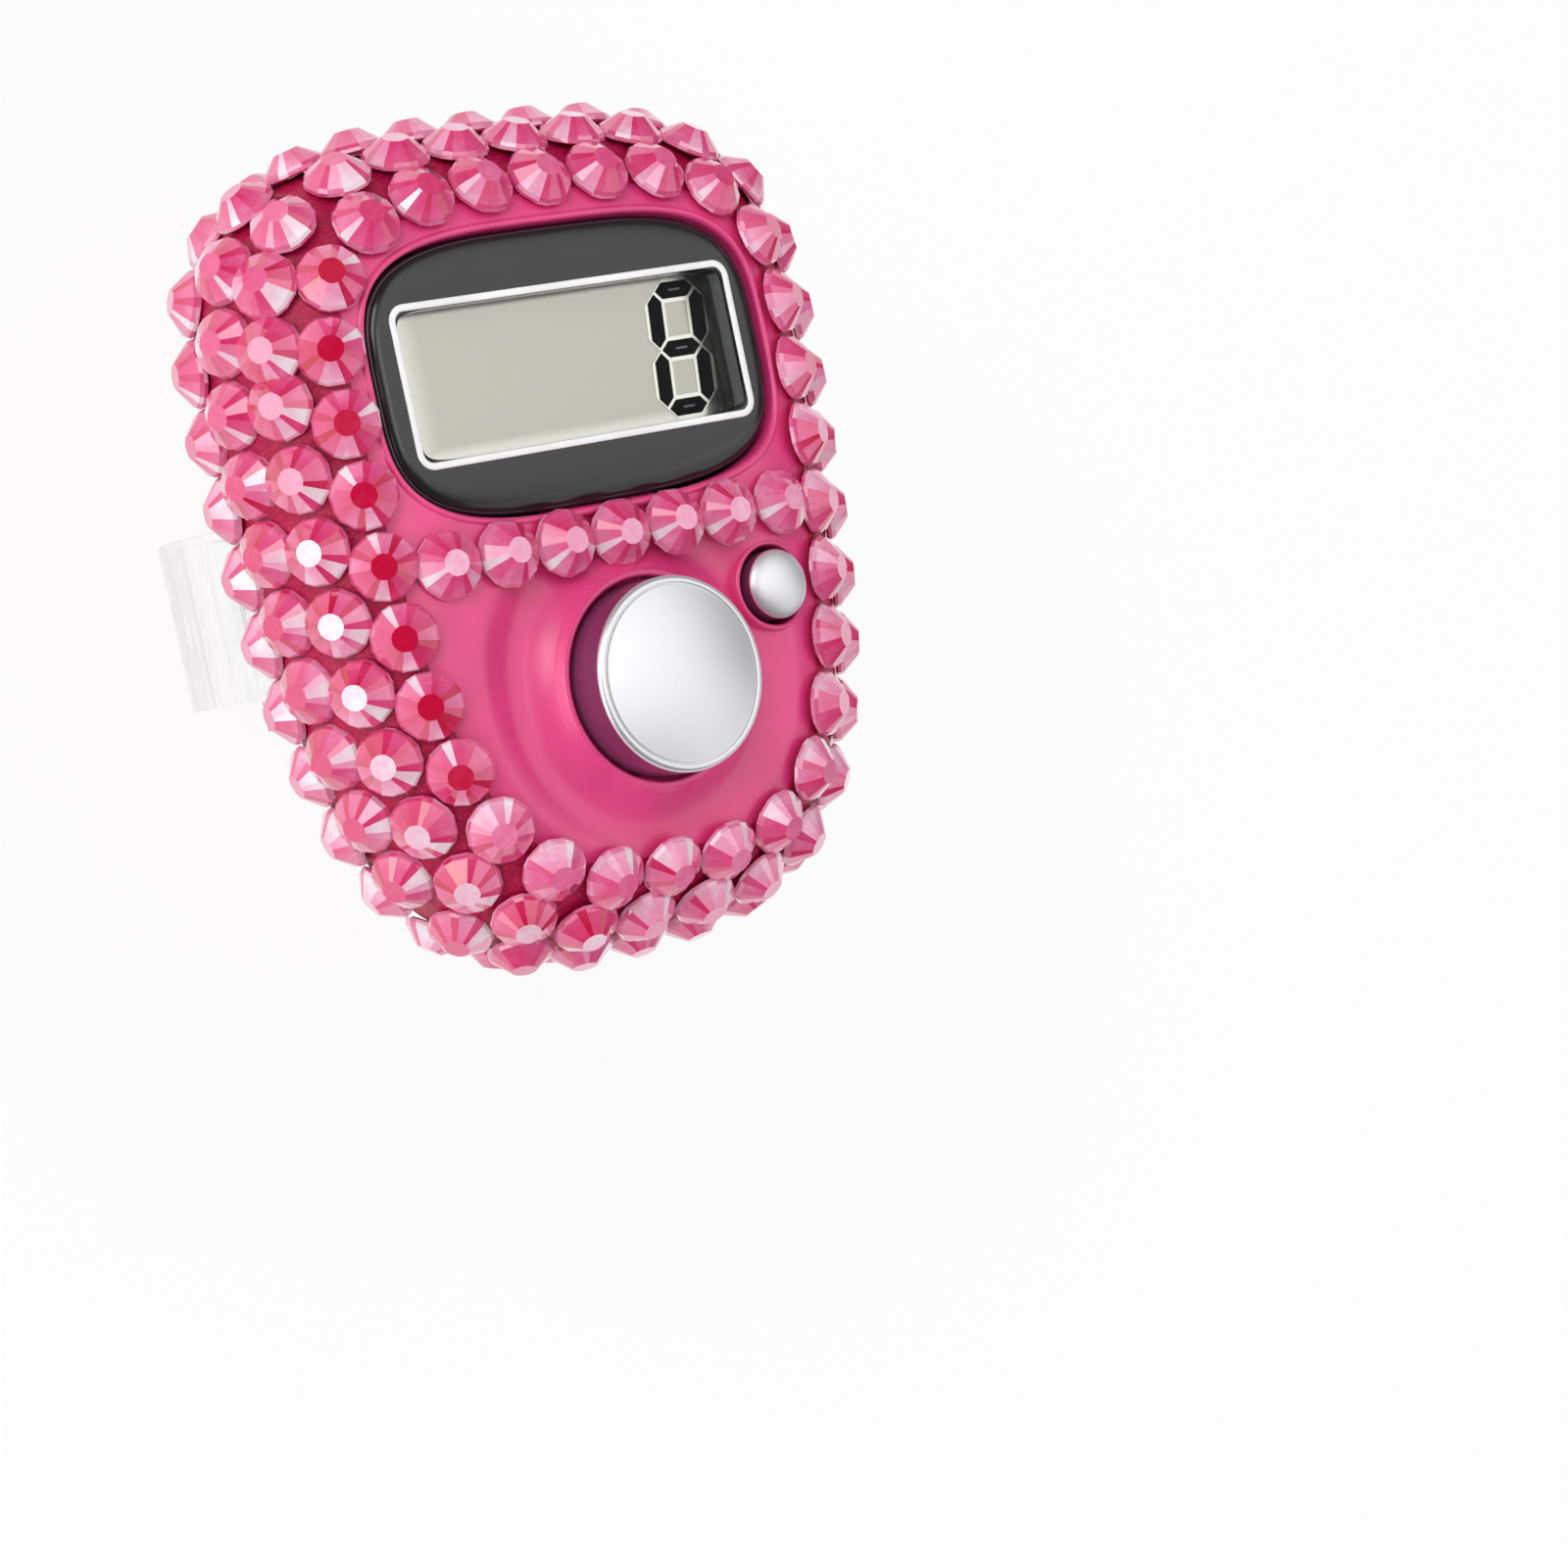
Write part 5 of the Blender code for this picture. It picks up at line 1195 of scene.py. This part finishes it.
def make_sky(scene, studio):
    """Surroundings that are white to the camera, an even light to matt surfaces, and to glossy ones a room that is
    dim, with its bright patches, and dark on the camera's side."""
    scene.world = bpy.data.worlds.new("studio")
    scene.world.use_nodes = True
    graph = Graph(scene.world.node_tree)
    camera, glossy, through = graph.rays()
    toward = graph.add("ShaderNodeTexCoord", output="Generated")

    def patch(direction, start, full):
        values = {0: toward, 1: direction}
        cosine = graph.add("ShaderNodeVectorMath", {"operation": "DOT_PRODUCT"}, values, output="Value")
        return cosine.between(start, full)

    room = studio.dark
    for direction, start, full, brightness in BRIGHT_PATCHES:
        room = room + patch(direction, start, full) * brightness
    room = room * (1.0 - patch(*DARK_PATCH) * DARK_SHARE)
    seen = camera.math("MAXIMUM", through)
    background = scene.world.node_tree.nodes["Background"]
    graph.put(background.inputs["Color"], (1, 1, 1))
    graph.put(background.inputs["Strength"], seen + (1 - seen) * (glossy * room + (1 - glossy) * studio.sky))


# Operators and panel


class CounterOperator:
    bl_options = {"REGISTER"}

    def execute(self, context):
        self.build(context.scene.tally_counter)
        return {"FINISHED"}


class TALLY_OT_case(CounterOperator, bpy.types.Operator):
    """Front case with its dish, the lip round the plate, the collar and the reset button's recess"""

    bl_idname = "tally.case"
    bl_label = "Front case"
    build = staticmethod(build_case)


class TALLY_OT_stones(CounterOperator, bpy.types.Operator):
    """Four rings and one row of faceted stones, with the glue between them"""

    bl_idname = "tally.stones"
    bl_label = "Stones"
    build = staticmethod(build_stones)


class TALLY_OT_plate(CounterOperator, bpy.types.Operator):
    """Front plate with its window and white line"""

    bl_idname = "tally.plate"
    bl_label = "Front plate"
    build = staticmethod(build_plate)


class TALLY_OT_display(CounterOperator, bpy.types.Operator):
    """Display with its digit, mask and window pane"""

    bl_idname = "tally.display"
    bl_label = "Display"
    build = staticmethod(build_display)


class TALLY_OT_buttons(CounterOperator, bpy.types.Operator):
    """Count button and reset button"""

    bl_idname = "tally.buttons"
    bl_label = "Buttons"
    build = staticmethod(build_buttons)


class TALLY_OT_back(CounterOperator, bpy.types.Operator):
    """Rear cover and strap"""

    bl_idname = "tally.back"
    bl_label = "Back and strap"
    build = staticmethod(build_back)


class TALLY_OT_inside(CounterOperator, bpy.types.Operator):
    """Finishes of the inner pieces, screws and pins"""

    bl_idname = "tally.inside"
    bl_label = "Inner pieces"
    build = staticmethod(build_inside)


class TALLY_OT_stage(CounterOperator, bpy.types.Operator):
    """Camera, floor and soft studio light"""

    bl_idname = "tally.stage"
    bl_label = "Stage"
    build = staticmethod(build_stage)


OPERATORS = (TALLY_OT_case, TALLY_OT_stones, TALLY_OT_plate, TALLY_OT_display, TALLY_OT_buttons, TALLY_OT_back,
             TALLY_OT_inside, TALLY_OT_stage)


class TALLY_PT_panel(bpy.types.Panel):
    """Lists the counter's pieces"""

    bl_idname = "TALLY_PT_panel"
    bl_label = "Tally counter"
    bl_space_type = "VIEW_3D"
    bl_region_type = "UI"
    bl_category = "Tally Counter"

    def draw(self, context):
        for operator in OPERATORS:
            self.layout.operator(operator.bl_idname)


CLASSES = (*GROUPS, CounterSettings, *OPERATORS, TALLY_PT_panel)


def register():
    for each in CLASSES:
        bpy.utils.register_class(each)
    bpy.types.Scene.tally_counter = PointerProperty(type=CounterSettings)


def unregister():
    del bpy.types.Scene.tally_counter
    for each in reversed(CLASSES):
        bpy.utils.unregister_class(each)


def main():
    register()
    bpy.ops.tally.case()
    bpy.ops.tally.stones()
    bpy.ops.tally.plate()
    bpy.ops.tally.display()
    bpy.ops.tally.buttons()
    bpy.ops.tally.back()
    bpy.ops.tally.inside()
    bpy.ops.tally.stage()


if __name__ == "__main__":
    main()
